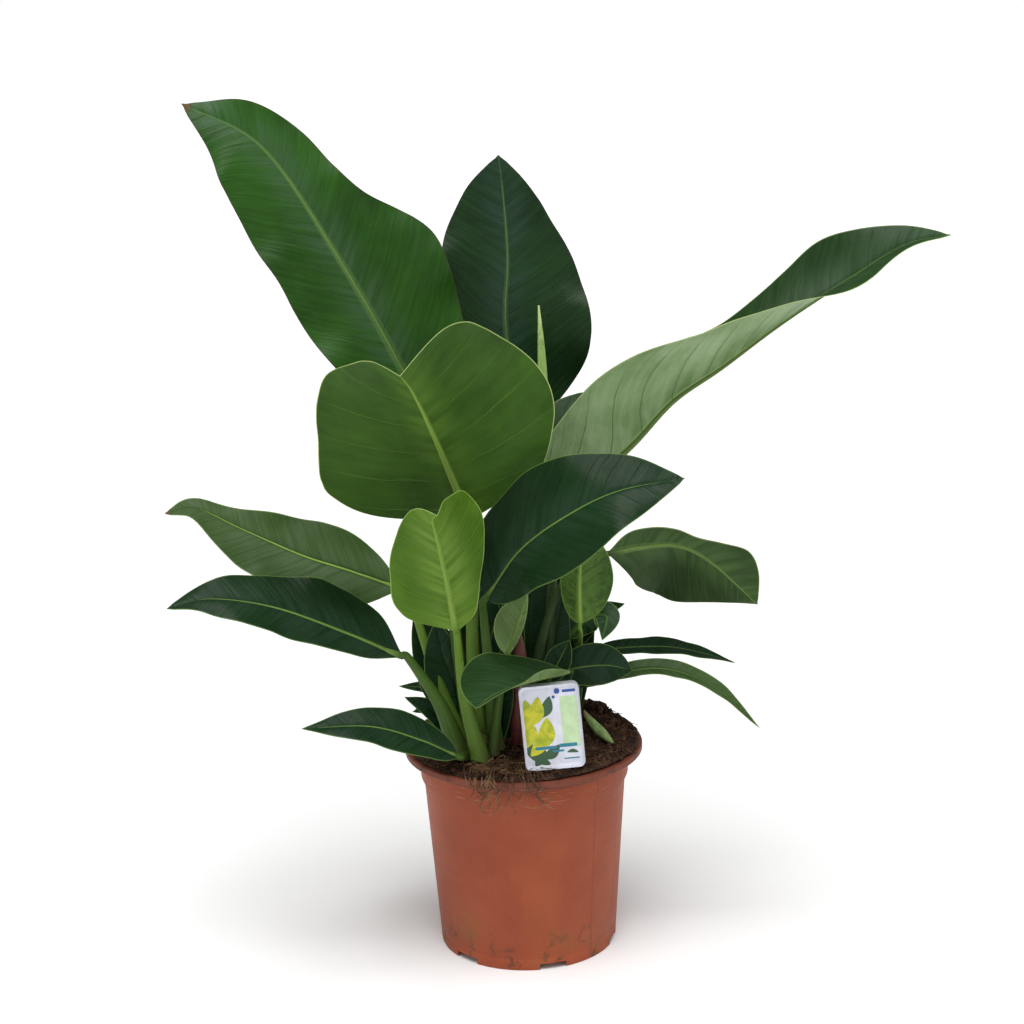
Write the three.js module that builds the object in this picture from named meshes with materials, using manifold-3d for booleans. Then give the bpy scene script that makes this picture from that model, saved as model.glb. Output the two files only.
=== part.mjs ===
// A potted philodendron: a plastic grower's pot filled with soil, leaves on their stalks
// growing from four short stems, and a plant label. Millimetres, +Z up, the viewer's side
// is -Y, and the origin is the centre of the pot's foot.
import * as THREE from "three";
import { mergeVertices } from "three/addons/utils/BufferGeometryUtils.js";
import Module from "manifold-3d";

const wasm = await Module();
wasm.setup();
const { Manifold, Mesh } = wasm;

// ---------------------------------------------------------------- sizes
const GAP = 0.3; // left between two pieces that touch on the real plant

const POT = {
  rimHeight: 165.5,
  lipWidth: 10.4, // how far the rim's lip stands out from the band
  lipThickness: 2.2,
  lipDrop: 5, // how far the lip's edge hangs down
  lipRound: 1,
  bandRadius: 84.6, // the straight band under the lip
  bandHeight: 24.5, // from the rim down to where the band steps in
  bodyStep: 4, // how far the body stands in from the band
  footRadius: 71,
  wall: 1.8,
  floorRise: 6, // underside of the floor above the standing edge
  floorThickness: 2,
  padRadius: 12, // the round pad in the middle, level with the standing edge
  notchWidth: 22,
  notchHeight: 5,
  notchDepth: 24, // across the foot ring, half of it inside
  notchCount: 6,
  firstNotch: -75, // degrees from +X
  drainRadius: 5,
  drainCircle: 44,
  segments: 40,
};

const SOIL = {
  belowRim: 2, // depth of the soil's edge under the rim
  mound: 8, // how much higher it stands away from the wall
  backMound: 14, // and how much more at the back right
  lump: 1.1, // height of the lumps
  rings: 8, // of the mesh, closer together towards the wall
  crowding: 0.85,
};

const LABEL = {
  width: 46,
  height: 66,
  thickness: 0.8,
  corner: 5,
  across: 24, // its middle, to the right of the pot's
  inside: 7, // its foot, in from the band
  lean: 4, // degrees the top leans back
  turn: 4, // degrees it is turned in its own plane
  stakeWidth: 8,
  stakeDepth: 16,
  above: 1, // the card's lower edge above the soil
};

const ROOT = { radius: 0.6, clear: 0.9 }; // roots that hang over the rim, and their clearance

const BLADE = { thickness: 0.9, rib: 0.8, tipWidth: 0.5, baseWidth: 2.2 };

// Short stems that stand in the soil. `at` is the place, and `tall` how far they rise.
const STEMS = {
  front: { at: [-36, -42], radius: 10, tall: 15 },
  centre: { at: [8, -8], radius: 7, tall: 14 },
  right: { at: [36, 10], radius: 6, tall: 12 },
  back: { at: [-34, 0], radius: 5, tall: 6 },
};

// ---------------------------------------------------------------- colours and finishes
const FINISHES = {
  pot: { color: 0x96503a, roughness: 0.55 },
  soil: { color: 0x3a2b24, roughness: 1.0 },
  root: { color: 0xa98f6e, roughness: 0.9 },
  label: { color: 0xe9ecf2, roughness: 0.4 },
  stem: { color: 0x5f7a3c, roughness: 0.7 },
  leaf_dark: { color: 0x1f4a2c, roughness: 0.4 },
  leaf_mid: { color: 0x2f6a2c, roughness: 0.45 },
  leaf_bright: { color: 0x5a8a35, roughness: 0.55 },
  stalk: { color: 0x4d7d3a, roughness: 0.5 },
  sheath: { color: 0x6e2d2d, roughness: 0.6 },
  new_leaf: { color: 0xa5be6e, roughness: 0.5 },
};

// ---------------------------------------------------------------- the leaves
// Heights here are for a plant whose soil surface lies at DATUM. Each blade follows its
// midrib from base to tip. `face` is where its upper side looks, along the way from base to
// tip. `wide` is the half width of the left and right wings, seen from the upper side with
// the tip up: at even steps from base to tip, or the greatest one of a plain leaf whose
// widest place is at `belly`. `fold` lifts each wing towards the upper side, in degrees from
// base to tip, left wing first; `curl` is what it turns further on the way to its margin.
// The stalk starts beside a stem, `turn` degrees round it, goes through the points of `via`,
// and ends at the blade's base. `thick` is its radius at the foot and at the blade.
const DATUM = 170;
const labelTop = DATUM + LABEL.height; // one leaf lies across the label's upper edge
const LEAVES = {
  back_left: {
    finish: "leaf_mid",
    wide: [
      [2, 24, 38, 46, 51, 52, 50, 52, 50, 47, 41, 22, 1],
      [2, 32, 54, 64, 71, 73, 60, 42, 35, 32, 26, 17, 1],
    ],
    mid: [[-63, 8, 412], [-86, 20, 464], [-132, 35, 549], [-189, 50, 636], [-250, 55, 671]],
    face: [[0, -0.9, 0.3], [0, -0.9, 0.4], [0, -0.8, 0.6]],
    fold: [[20, 12, 10], [20, 12, 10]], curl: [-15, -10],
    stem: "front", turn: 115, via: [[-55, -8, 300]], thick: [4, 3],
  },
  back_centre: {
    finish: "leaf_dark",
    wide: [
      [3, 38, 52, 60, 61, 60, 57, 55, 53, 48, 38, 25, 1],
      [3, 28, 48, 62, 68, 69, 66, 58, 48, 37, 28, 16, 1],
    ],
    mid: [[4, 66, 400], [-5, 70, 488], [-2, 80, 542], [-4, 90, 589], [-7, 95, 623]],
    face: [[0, -1, 0.1], [0, -1, 0.15], [0, -1, 0.2]],
    fold: [[15, 12, 10], [15, 12, 10]], curl: [-8, -8],
    stem: "centre", turn: 100, via: [[4, 25, 250], [4, 52, 350]], thick: [4, 3],
  },
  front_large: {
    finish: "leaf_bright",
    wide: [
      [4, 60, 70, 80, 90, 94, 92, 86, 78, 70, 60, 40, 1],
      [6, 76, 102, 105, 102, 98, 95, 91, 82, 57, 38, 24, 1],
    ],
    mid: [[-36, -29, 356], [-45, -45, 383], [-60, -85, 434], [-72, -125, 472], [-78, -165, 490]],
    face: [[0, 0.7, 0.6], [0, 0.6, 0.8], [0, 0.2, 1]],
    fold: [[5, 15, 30, 45, 55], [0, 5, 15, 25, 35]], curl: [5, 5],
    stem: "front", turn: 72, via: [[-38, -30, 250]], thick: [4.2, 3.4],
  },
  front_small: {
    finish: "leaf_bright",
    wide: [
      [3, 16, 21, 25, 29, 33, 37, 41, 43, 40, 33, 16, 1],
      [3, 32, 41, 44, 44, 44, 42, 38, 33, 28, 21, 12, 1],
    ],
    mid: [[-49, -75, 281], [-54, -95, 325], [-59, -118, 363], [-61, -135, 381], [-57, -148, 387]],
    face: [[0, 0.8, 0.5], [0, 0.6, 0.8], [0, 0.2, 1]],
    fold: [[5, 20, 35, 50, 55], [0, 5, 15, 25, 35]], curl: [5, 5],
    stem: "front", turn: 275, via: [[-45, -66, 225]], thick: [4, 2.6],
  },
  right_long: {
    finish: "leaf_bright",
    wide: [
      [38, 72, 72, 58, 48, 43, 38, 36, 38, 39, 30, 15, 1],
      [44, 56, 67, 72, 68, 58, 49, 42, 35, 29, 21, 11, 1],
    ],
    mid: [
      [34, 5, 361], [85, 5, 400], [122, 8, 437], [160, 12, 461], [208, 20, 493],
      [264, 28, 526], [306, 34, 549], [343, 40, 555],
    ],
    face: [[-0.6, 0, 0.8], [-0.6, -0.1, 0.8], [-0.4, -0.4, 0.8]],
    fold: [[60, 45, 30, 40, 50, 45], [75, 65, 55, 35, 15, 12]], curl: [-10, -10],
    stem: "centre", turn: 0, via: [[22, 4, 235], [26, 6, 300]], thick: [4, 3],
  },
  front_dark: {
    finish: "leaf_dark", belly: 0.45, wide: [46, 42],
    mid: [[-25, -60, 302], [1, -80, 343], [38, -95, 373], [75, -97, 390], [123, -90, 396]],
    face: [[-0.2, -0.75, 0.6], [-0.2, -0.75, 0.6], [0, -0.7, 0.7]],
    fold: [[20, 12, 10], [20, 10, 10]], curl: [-10, -15],
    stem: "front", turn: 25, via: [[-26, -41, 245], [-28, -47, 280]], thick: [4, 2.8],
  },
  front_low: {
    finish: "leaf_dark",
    wide: [[2, 8, 13, 17, 18, 16, 13, 7, 1], [2, 14, 24, 33, 40, 42, 36, 20, 1]],
    mid: [
      [36, -54, labelTop + 2], [8, -80, labelTop + 5], [-20, -106, labelTop + 4], [-35, -126, labelTop],
    ],
    face: [[-0.1, -0.5, 0.85], [-0.1, -0.5, 0.85], [-0.2, -0.3, 0.9]],
    fold: [[70, 55, 10], [10, 5, 0]], curl: [0, 0],
    stem: "centre", turn: 320, via: [[31, -40, labelTop - 21]], thick: [2.4, 1.2],
  },
  left_upper: {
    finish: "leaf_mid",
    wide: [[2, 28, 36, 38, 36, 31, 22, 12, 1], [2, 20, 29, 31, 27, 20, 13, 9, 1]],
    mid: [[-94, 0, 294], [-133, 5, 308], [-172, 10, 321], [-219, 14, 343], [-254, 16, 360], [-278, 16, 356]],
    face: [[0.1, -0.75, 0.6], [0.1, -0.75, 0.6], [0.1, -0.6, 0.8]],
    fold: [[15, 10, 10], [15, 15, 10]], curl: [-10, -10],
    stem: "front", turn: 150, via: [[-70, -18, 235]], thick: [3.6, 2.6],
  },
  left_lower: {
    finish: "leaf_dark",
    wide: [[2, 12, 16, 19, 21, 21, 18, 11, 1], [2, 26, 35, 36, 32, 27, 21, 12, 1]],
    mid: [[-93, -45.5, 253], [-130, -58, 275], [-184, -70, 301], [-231, -80, 312], [-263, -86, 307]],
    face: [[0.1, -0.6, 0.75], [0.1, -0.6, 0.75], [0.1, -0.5, 0.8]],
    fold: [[-20, -5, 10], [10, 8, 10]], curl: [-10, -10],
    stem: "front", turn: 190, via: [[-64, -47, 212]], thick: [6, 3],
  },
  left_lowest: {
    finish: "leaf_dark", belly: 0.42, wide: [17, 18],
    mid: [[-52, -70, 179], [-78, -80, 196], [-116, -88, 211], [-167, -92, 212]],
    face: [[0.1, -0.65, 0.75], [0.1, -0.65, 0.75], [0, -0.5, 0.8]],
    fold: [[15, 10, 10], [15, 10, 10]], curl: [-10, -10],
    stem: "front", turn: 228, via: [[-48, -61, 176]], thick: [2.6, 2],
  },
  right_middle: {
    finish: "leaf_bright",
    wide: [[2, 34, 53, 63, 67, 63, 51, 29, 1], [2, 12, 15, 14, 12, 18, 27, 20, 1]],
    mid: [[71, -2, 318], [96, 2, 322], [127, 8, 320], [153, 8, 305], [188, 2, 272]],
    face: [[0.1, 0.85, 0.4], [0.1, 0.85, 0.4], [0.3, 0.7, 0.5]],
    fold: [[10, 10, 10], [20, 20, 20]], curl: [0, 0],
    stem: "centre", turn: 240, via: [[8, -17, 222], [32, -11, 294]], thick: [3.5, 2.4],
  },
  inner_mottled: {
    finish: "leaf_bright", belly: 0.4, wide: [28, 15],
    mid: [[46, -22, 268], [46, -28, 300], [48, -40, 335], [50, -48, 352]],
    face: [[0, 0.9, 0.3], [0, 0.9, 0.4], [0, 0.8, 0.6]],
    fold: [[10, 15, 15], [10, 15, 15]], curl: [5, 5],
    stem: "right", turn: 300, via: [[46, 3, 230], [47, -5, 254]], thick: [2.4, 1.8],
  },
  inner_curled: {
    finish: "leaf_dark", belly: 0.45, wide: [13, 13],
    mid: [[38, 13, 246], [52, 12, 260], [68, 2, 266], [64, -12, 250]],
    face: [[0, -0.8, 0.6], [0, -0.8, 0.6], [0.5, -0.6, 0.6]],
    fold: [[10, 10, 10], [10, 10, 10]], curl: [-10, -10],
    stem: "right", turn: 245, via: [[34, 3, 215]], thick: [2.2, 1.6],
  },
  inner_back: {
    finish: "leaf_dark", belly: 0.45, wide: [9, 9],
    mid: [[44, 22, 235], [60, 25, 260], [84, 22, 270]],
    face: [[0, -0.8, 0.6], [0, -0.8, 0.6], [0, -0.8, 0.6]],
    fold: [[10, 10, 10], [10, 10, 10]], curl: [0, 0],
    stem: "right", turn: 60, via: [[42, 20, 210]], thick: [2, 1.5],
  },
  inner_grey: {
    finish: "leaf_mid", belly: 0.45, wide: [6, 17],
    mid: [[-11, -50, 253], [-6, -51, 268], [0, -53, 286], [6, -56, 304]],
    face: [[0, 0.9, 0.2], [0, 0.9, 0.2], [0, 0.9, 0.2]],
    fold: [[10, 10, 10], [10, 10, 10]], curl: [0, 0],
    stem: "front", turn: 335, via: [[-18, -48, 215]], thick: [2.6, 1.8],
  },
  inner_right: {
    finish: "leaf_dark", belly: 0.5, wide: [11, 11],
    mid: [[21, -28, 222], [28, -31, 238], [38, -28, 256]],
    face: [[-0.3, -0.8, 0.4], [-0.3, -0.8, 0.4], [-0.3, -0.8, 0.4]],
    fold: [[10, 10, 10], [10, 10, 10]], curl: [0, 0],
    stem: "centre", turn: 285, via: [[17, -23, 200]], thick: [2.2, 1.6],
  },
  right_upper: {
    finish: "leaf_dark", belly: 0.45, wide: [11, 11],
    mid: [[50, 32, 226], [80, 35, 229], [120, 41, 227], [150, 45, 219], [176, 52, 208]],
    face: [[0, -0.35, 0.9], [0, -0.35, 0.9], [0, -0.35, 0.9]],
    fold: [[10, 10, 10], [10, 10, 10]], curl: [-10, -10],
    stem: "right", turn: 125, via: [[34, 26, 205]], thick: [2.6, 1.8],
  },
  right_broad: {
    finish: "leaf_dark", belly: 0.5, wide: [18, 17],
    mid: [[25, -13, 224], [46, -17, 230], [68, -14, 230], [88, -7, 223]],
    face: [[0, -0.85, 0.5], [0, -0.85, 0.5], [0, -0.85, 0.5]],
    fold: [[10, 10, 10], [10, 10, 10]], curl: [0, 0],
    stem: "right", turn: 205, via: [[27, -6, 205]], thick: [2.4, 1.2],
  },
  right_arched: {
    finish: "leaf_mid", belly: 0.4, wide: [9, 9],
    mid: [[51, 12, 205], [86, 4, 219], [119, 2, 220], [155, 0, 204], [189, -4, 171]],
    face: [[0, -0.5, 0.85], [0, -0.5, 0.85], [0.2, -0.5, 0.7]],
    fold: [[10, 15, 15], [10, 15, 15]], curl: [0, 0],
    stem: "right", turn: 15, via: [], thick: [2.2, 1.6],
  },
  tip_upper: {
    finish: "leaf_dark", belly: 0.45, wide: [6, 6],
    mid: [[-48, 9, 190], [-72, 20, 203], [-100, 28, 204]],
    face: [[0, -0.7, 0.7], [0, -0.7, 0.7], [0, -0.7, 0.7]],
    fold: [[10, 10, 10], [10, 10, 10]], curl: [0, 0],
    stem: "back", turn: 80, via: [], thick: [1.8, 1.3],
  },
  tip_lower: {
    finish: "leaf_dark", belly: 0.45, wide: [7, 7],
    mid: [[-50, 14, 178], [-70, 24, 186], [-90, 30, 181]],
    face: [[0, -0.7, 0.7], [0, -0.7, 0.7], [0, -0.7, 0.7]],
    fold: [[10, 10, 10], [10, 10, 10]], curl: [0, 0],
    stem: "back", turn: 145, via: [], thick: [1.8, 1.3],
  },
};

// The rolled new leaf and its stalk, the red sheath and the small pale sheath: tapering
// tubes, drawn like the stalks.
const SHOOTS = {
  new_leaf: { finish: "new_leaf", path: [[22, 22, 400], [23, 24, 440], [22, 25, 486], [21, 26, 511]], thick: [3.2, 3.6, 3, 0.5] },
  red_sheath: { finish: "sheath", path: [[-5, -26, 172], [-3, -27, 215], [-2, -28, 240], [0, -29, 262]], thick: [5, 6.5, 5.5, 0.8] },
  pale_sheath: { finish: "stalk", path: [[70, -30, 171], [62, -27, 178], [53, -22, 187], [48, -20, 195]], thick: [1, 3.6, 3.2, 0.8] },
};

// ---------------------------------------------------------------- helpers
const rad = THREE.MathUtils.degToRad;
const mix = THREE.MathUtils.lerp;
const group = new THREE.Group();
group.name = "potted_philodendron";

function add(name, geometry, finish) {
  const material = new THREE.MeshStandardMaterial({ ...FINISHES[finish], metalness: 0 });
  const mesh = new THREE.Mesh(geometry, material);
  mesh.name = name;
  group.add(mesh);
}

// Turns a list of points and faces with shared corners into a geometry.
function geometryOf(points, faces) {
  const geometry = new THREE.BufferGeometry().setFromPoints(points);
  geometry.setIndex(faces.flat());
  geometry.computeVertexNormals();
  return geometry;
}

// Makes a solid that can be joined and cut, and turns one back into a geometry.
function solidOf(geometry) {
  const bare = geometry.clone();
  bare.deleteAttribute("normal");
  bare.deleteAttribute("uv");
  const { attributes, index } = mergeVertices(bare);
  const vertProperties = attributes.position.array;
  return new Manifold(new Mesh({ numProp: 3, vertProperties, triVerts: new Uint32Array(index.array) }));
}

function geometryFrom(solid) {
  const mesh = solid.getMesh();
  const geometry = new THREE.BufferGeometry();
  geometry.setAttribute("position", new THREE.BufferAttribute(mesh.vertProperties, 3));
  geometry.setIndex(new THREE.BufferAttribute(mesh.triVerts, 1));
  geometry.computeVertexNormals();
  return geometry;
}

// A smooth curve through the points.
function curveThrough(points) {
  return new THREE.CatmullRomCurve3(points, false, "catmullrom", 0.5);
}

function tangents(line) {
  return line.map((_, i) => {
    const before = line[Math.max(i - 1, 0)];
    const after = line[Math.min(i + 1, line.length - 1)];
    return after.clone().sub(before).normalize();
  });
}

// A value at u between entries spread evenly from 0 to 1, joined smoothly.
function smooth(values, u) {
  return curveThrough(values.map((value) => new THREE.Vector3(value, 0, 0))).getPoint(u).x;
}

// The same, joined straight.
function along(values, u) {
  const spans = values.length - 1;
  const i = Math.min(Math.floor(u * spans), spans - 1);
  return mix(values[i], values[i + 1], u * spans - i);
}

// ---------------------------------------------------------------- stalks and shoots
// A closed round body along a smooth line, whose radius runs evenly through `radii`.
function taper(points, radii, rings, sides) {
  const line = curveThrough(points).getSpacedPoints(rings);
  const directions = tangents(line);
  const skin = [];
  const faces = [];
  let side = new THREE.Vector3(1, 0, 0);
  line.forEach((centre, i) => {
    side = side.clone().addScaledVector(directions[i], -side.dot(directions[i])).normalize();
    const up = directions[i].clone().cross(side);
    const radius = along(radii, i / rings);
    for (let j = 0; j < sides; j++) {
      const turn = (2 * Math.PI * j) / sides;
      const point = centre.clone().addScaledVector(side, radius * Math.cos(turn));
      skin.push(point.addScaledVector(up, radius * Math.sin(turn)));
    }
  });
  for (let i = 0; i < rings; i++)
    for (let j = 0; j < sides; j++) {
      const a = i * sides + j;
      const b = i * sides + ((j + 1) % sides);
      faces.push([a, b, b + sides], [a, b + sides, a + sides]);
    }
  const last = rings * sides;
  for (let j = 1; j < sides - 1; j++) {
    faces.push([0, j + 1, j]);
    faces.push([last, last + j, last + j + 1]);
  }
  return geometryOf(skin, faces);
}

// ---------------------------------------------------------------- blades
// A wing's half width at u. A plain leaf is rounded at the base and pointed at the tip.
function halfWidth(wide, belly, u) {
  const least = mix(BLADE.baseWidth, BLADE.tipWidth, u);
  if (Array.isArray(wide)) return Math.max(smooth(wide, u), least);
  const warped = Math.min(u ** (Math.log(0.5) / Math.log(belly)), 1);
  return Math.max(wide * Math.max(Math.sin(Math.PI * warped), 0) ** mix(0.62, 0.9, u), least);
}

function blade(leaf, steps, across) {
  const line = curveThrough(leaf.mid.map(lifted)).getSpacedPoints(steps);
  const directions = tangents(line);
  const rows = line.map((centre, i) => {
    const u = i / steps;
    const [x, y, z] = [0, 1, 2].map((axis) => along(leaf.face.map((f) => f[axis]), u));
    const tangent = directions[i];
    const normal = new THREE.Vector3(x, y, z);
    normal.addScaledVector(tangent, -normal.dot(tangent)).normalize();
    const right = tangent.clone().cross(normal);
    const row = [];
    for (let j = -across; j <= across; j++) {
      const wing = j < 0 ? 0 : 1;
      const sign = j < 0 ? -1 : 1;
      const width = halfWidth(leaf.wide[wing], leaf.belly, u);
      const point = centre.clone();
      const count = Math.abs(j);
      let angle = rad(along(leaf.fold[wing], u));
      for (let k = 0; k < count; k++) {
        angle = rad(along(leaf.fold[wing], u) + (leaf.curl[wing] * (k + 0.5)) / across);
        point.addScaledVector(right, (sign * width * Math.cos(angle)) / across);
        point.addScaledVector(normal, (width * Math.sin(angle)) / across);
      }
      const facing = normal.clone().multiplyScalar(Math.cos(angle))
        .addScaledVector(right, -sign * Math.sin(angle));
      row.push({ point, facing: count ? facing : normal.clone(), rib: count ? 0 : 1 });
    }
    return row;
  });
  const columns = 2 * across + 1;
  const points = [];
  for (const [side, ribbed] of [[0.5, 0], [-0.5, 1]])
    rows.forEach((row, i) => row.forEach(({ point, facing, rib }) => {
      const rise = side * BLADE.thickness - ribbed * rib * BLADE.rib * (1 - i / steps);
      points.push(point.clone().addScaledVector(facing, rise));
    }));
  const under = rows.length * columns;
  const faces = [];
  const quad = (a, b, c, d) => faces.push([a, b, c], [a, c, d]);
  for (let i = 0; i < steps; i++)
    for (let j = 0; j < columns - 1; j++) {
      const a = i * columns + j;
      quad(a, a + 1, a + 1 + columns, a + columns);
      quad(under + a, under + a + columns, under + a + 1 + columns, under + a + 1);
    }
  for (let i = 0; i < steps; i++) {
    const left = i * columns;
    const right = left + columns - 1;
    quad(left, left + columns, under + left + columns, under + left);
    quad(right, under + right, under + right + columns, right + columns);
  }
  for (let j = 0; j < columns - 1; j++) {
    const tip = steps * columns + j;
    quad(j, under + j, under + j + 1, j + 1);
    quad(tip, tip + 1, under + tip + 1, under + tip);
  }
  return geometryOf(points, faces);
}

// ---------------------------------------------------------------- the pot
const rimRadius = POT.bandRadius + POT.lipWidth;
const bodyRadius = POT.bandRadius - POT.bodyStep;
const bandBottom = POT.rimHeight - POT.bandHeight;

// The pot's outer radius under the lip, at height z.
function outerRadius(z) {
  if (z >= bandBottom) return mix(POT.bandRadius - 1.5, POT.bandRadius, (z - bandBottom) / POT.bandHeight);
  const shoulder = bandBottom - POT.bodyStep;
  if (z >= shoulder) return mix(bodyRadius, POT.bandRadius - 1.5, (z - shoulder) / POT.bodyStep);
  return mix(POT.footRadius, bodyRadius, z / shoulder);
}
const innerRadius = (z) => outerRadius(z) - POT.wall;

// A solid of revolution about Z from a closed profile of [radius, height].
function lathe(profile, segments) {
  const outline = [...profile, profile[0]].map(([r, z]) => new THREE.Vector2(r, z));
  return new THREE.LatheGeometry(outline, segments).rotateX(Math.PI / 2);
}

function pot() {
  const shoulder = bandBottom - POT.bodyStep;
  const top = POT.rimHeight;
  const underLip = top - POT.lipThickness;
  const lipInside = rimRadius - POT.wall;
  const floorTop = POT.floorRise + POT.floorThickness;
  const profile = [
    [innerRadius(0), 0], [POT.footRadius, 0],
    [outerRadius(shoulder), shoulder], [outerRadius(bandBottom), bandBottom],
    [POT.bandRadius, underLip], [lipInside, underLip],
    [lipInside, top - POT.lipDrop], [rimRadius, top - POT.lipDrop],
    [rimRadius, top - POT.lipRound], [rimRadius - POT.lipRound, top],
    [innerRadius(top), top], [innerRadius(bandBottom), bandBottom],
    [innerRadius(shoulder), shoulder], [innerRadius(floorTop), floorTop],
    [POT.padRadius, floorTop], [0, floorTop], [0, 0], [POT.padRadius, 0],
    [POT.padRadius, POT.floorRise], [innerRadius(POT.floorRise), POT.floorRise],
  ];
  let solid = solidOf(lathe(profile, POT.segments));
  const tall = 2 * (floorTop + POT.drainRadius);
  for (let n = 0; n < POT.notchCount; n++) {
    const turn = rad(POT.firstNotch + (360 * n) / POT.notchCount);
    const notch = new THREE.BoxGeometry(POT.notchDepth, POT.notchWidth, 2 * POT.notchHeight)
      .translate(POT.footRadius, 0, 0).rotateZ(turn);
    const drain = new THREE.CylinderGeometry(POT.drainRadius, POT.drainRadius, tall, 16)
      .rotateX(Math.PI / 2).translate(POT.drainCircle, 0, 0).rotateZ(turn);
    solid = solid.subtract(solidOf(notch)).subtract(solidOf(drain));
  }
  return geometryFrom(solid);
}

// ---------------------------------------------------------------- the soil
const soilEdge = POT.rimHeight - SOIL.belowRim;
const soilRadius = innerRadius(soilEdge) - GAP;

function soilHeight(x, y) {
  const out = Math.min(Math.hypot(x, y) / soilRadius, 1);
  const back = Math.max((x + y) / (1.4 * soilRadius), 0);
  const inside = 1 - out ** 6;
  const lumps = Math.sin(x / 6 + 1) * Math.cos(y / 5.3) + 0.6 * Math.sin(x / 3.7 - y / 4.3);
  return soilEdge + inside * (SOIL.mound + SOIL.backMound * back + SOIL.lump * lumps);
}

function soil() {
  const floor = POT.floorRise + POT.floorThickness + GAP;
  const shoulder = bandBottom - POT.bodyStep;
  const middle = [[0, floor], [innerRadius(floor) - GAP, floor], [innerRadius(shoulder) - GAP, shoulder],
    [innerRadius(bandBottom) - GAP, bandBottom]];
  const surface = [];
  for (let ring = SOIL.rings; ring >= 0; ring--)
    surface.push([soilRadius * (ring / SOIL.rings) ** SOIL.crowding, soilEdge]);
  const geometry = lathe([...middle, ...surface], POT.segments);
  const position = geometry.getAttribute("position");
  for (let k = 0; k < position.count; k++) {
    const [x, y, z] = [position.getX(k), position.getY(k), position.getZ(k)];
    if (z > soilEdge - GAP) position.setZ(k, soilHeight(x, y));
  }
  return solidOf(geometry);
}

// The highest soil under a round foot of the given radius.
function soilUnder(x, y, radius) {
  let top = soilHeight(x, y);
  for (let k = 0; k < 16; k++) {
    const turn = (Math.PI * k) / 8;
    for (const share of [0.5, 1, 1.4])
      top = Math.max(top, soilHeight(x + share * radius * Math.cos(turn), y + share * radius * Math.sin(turn)));
  }
  return top;
}

// ---------------------------------------------------------------- the plant
const LIFT = soilEdge + SOIL.mound - DATUM;
function lifted([x, y, z]) {
  return new THREE.Vector3(x, y, z + LIFT);
}

function stem({ at, radius, tall }) {
  const profile = [[0, 0], [radius, 0], [radius, 0.45 * tall], [0.88 * radius, 0.7 * tall],
    [0.6 * radius, 0.9 * tall], [0.2 * radius, tall], [0, tall]];
  return lathe(profile, 14).translate(...at, soilUnder(...at, radius) + 2 * GAP);
}

function stalk(leaf) {
  const { at, radius } = STEMS[leaf.stem];
  const reach = radius + leaf.thick[0] + 2 * GAP;
  const x = at[0] + reach * Math.cos(rad(leaf.turn));
  const y = at[1] + reach * Math.sin(rad(leaf.turn));
  const foot = soilUnder(x, y, leaf.thick[0]) + 3 * GAP;
  const base = lifted(leaf.mid[0]);
  const next = lifted(leaf.mid[1]);
  const on = next.sub(base).normalize();
  const end = base.clone().addScaledVector(on, -4 * GAP);
  const before = end.clone().addScaledVector(on, -2 * leaf.thick[1]);
  const upright = Math.min(5, 0.3 * (end.z - foot));
  const start = [new THREE.Vector3(x, y, foot), new THREE.Vector3(x, y, foot + upright)];
  const path = [...start, ...leaf.via.map(lifted), before, end];
  const stout = leaf.thick[0] > 2.5;
  return taper(path, leaf.thick, stout ? 12 : 7, stout ? 7 : 6);
}

// ---------------------------------------------------------------- the label
const LABEL_AT = {
  x: LABEL.across,
  y: -Math.sqrt((POT.bandRadius - LABEL.inside) ** 2 - LABEL.across ** 2),
};

// The card with rounded corners and its stake, `margin` larger all round.
function labelSolid(margin) {
  const { width, height, corner, thickness, stakeWidth, stakeDepth } = LABEL;
  const [w, h, r] = [width / 2 + margin, height / 2 + margin, corner + margin];
  const outline = new THREE.Shape()
    .absarc(w - r, h - r, r, 0, Math.PI / 2)
    .absarc(r - w, h - r, r, Math.PI / 2, Math.PI)
    .absarc(r - w, r - h, r, Math.PI, 1.5 * Math.PI)
    .absarc(w - r, r - h, r, 1.5 * Math.PI, 2 * Math.PI);
  const deep = thickness + 2 * margin;
  const card = new THREE.ExtrudeGeometry(outline, { depth: deep, bevelEnabled: false, curveSegments: 4 })
    .translate(0, 0, -deep / 2);
  const stake = new THREE.BoxGeometry(stakeWidth + 2 * margin, stakeDepth + corner + margin, deep)
    .translate(0, (corner - stakeDepth - height - margin) / 2, 0);
  const foot = soilUnder(LABEL_AT.x, LABEL_AT.y, stakeWidth) + LABEL.above;
  const place = (geometry) => geometry.translate(0, height / 2, 0).rotateX(Math.PI / 2)
    .rotateY(rad(-LABEL.turn)).rotateX(rad(-LABEL.lean)).translate(LABEL_AT.x, LABEL_AT.y, foot);
  return solidOf(place(card)).add(solidOf(place(stake)));
}

// ---------------------------------------------------------------- roots over the rim
// It leaves the soil `across` from the middle, leans over the lip and hangs `drop` below it.
function root(across, drop, lean) {
  const clear = ROOT.radius + ROOT.clear;
  const front = (radius) => -Math.sqrt(radius ** 2 - across ** 2);
  const lip = POT.rimHeight + clear;
  const path = [
    [across - lean, front(soilRadius) + 12, lip + 5],
    [across, front(soilRadius) + 2, lip + 1.5],
    [across, front(rimRadius - 2), lip + 0.4],
    [across + 0.3 * lean, front(rimRadius + clear), lip - 2.5],
    [across + lean, front(rimRadius + clear), lip - drop],
  ];
  return taper(path.map((p) => new THREE.Vector3(...p)), [ROOT.radius, 0.6 * ROOT.radius], 10, 5);
}

// ---------------------------------------------------------------- assembly
add("pot", pot(), "pot");
add("soil", geometryFrom(soil().subtract(labelSolid(GAP))), "soil");
add("label", geometryFrom(labelSolid(0)), "label");

for (const [name, spec] of Object.entries(STEMS)) add(`stem_${name}`, stem(spec), "stem");

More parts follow.
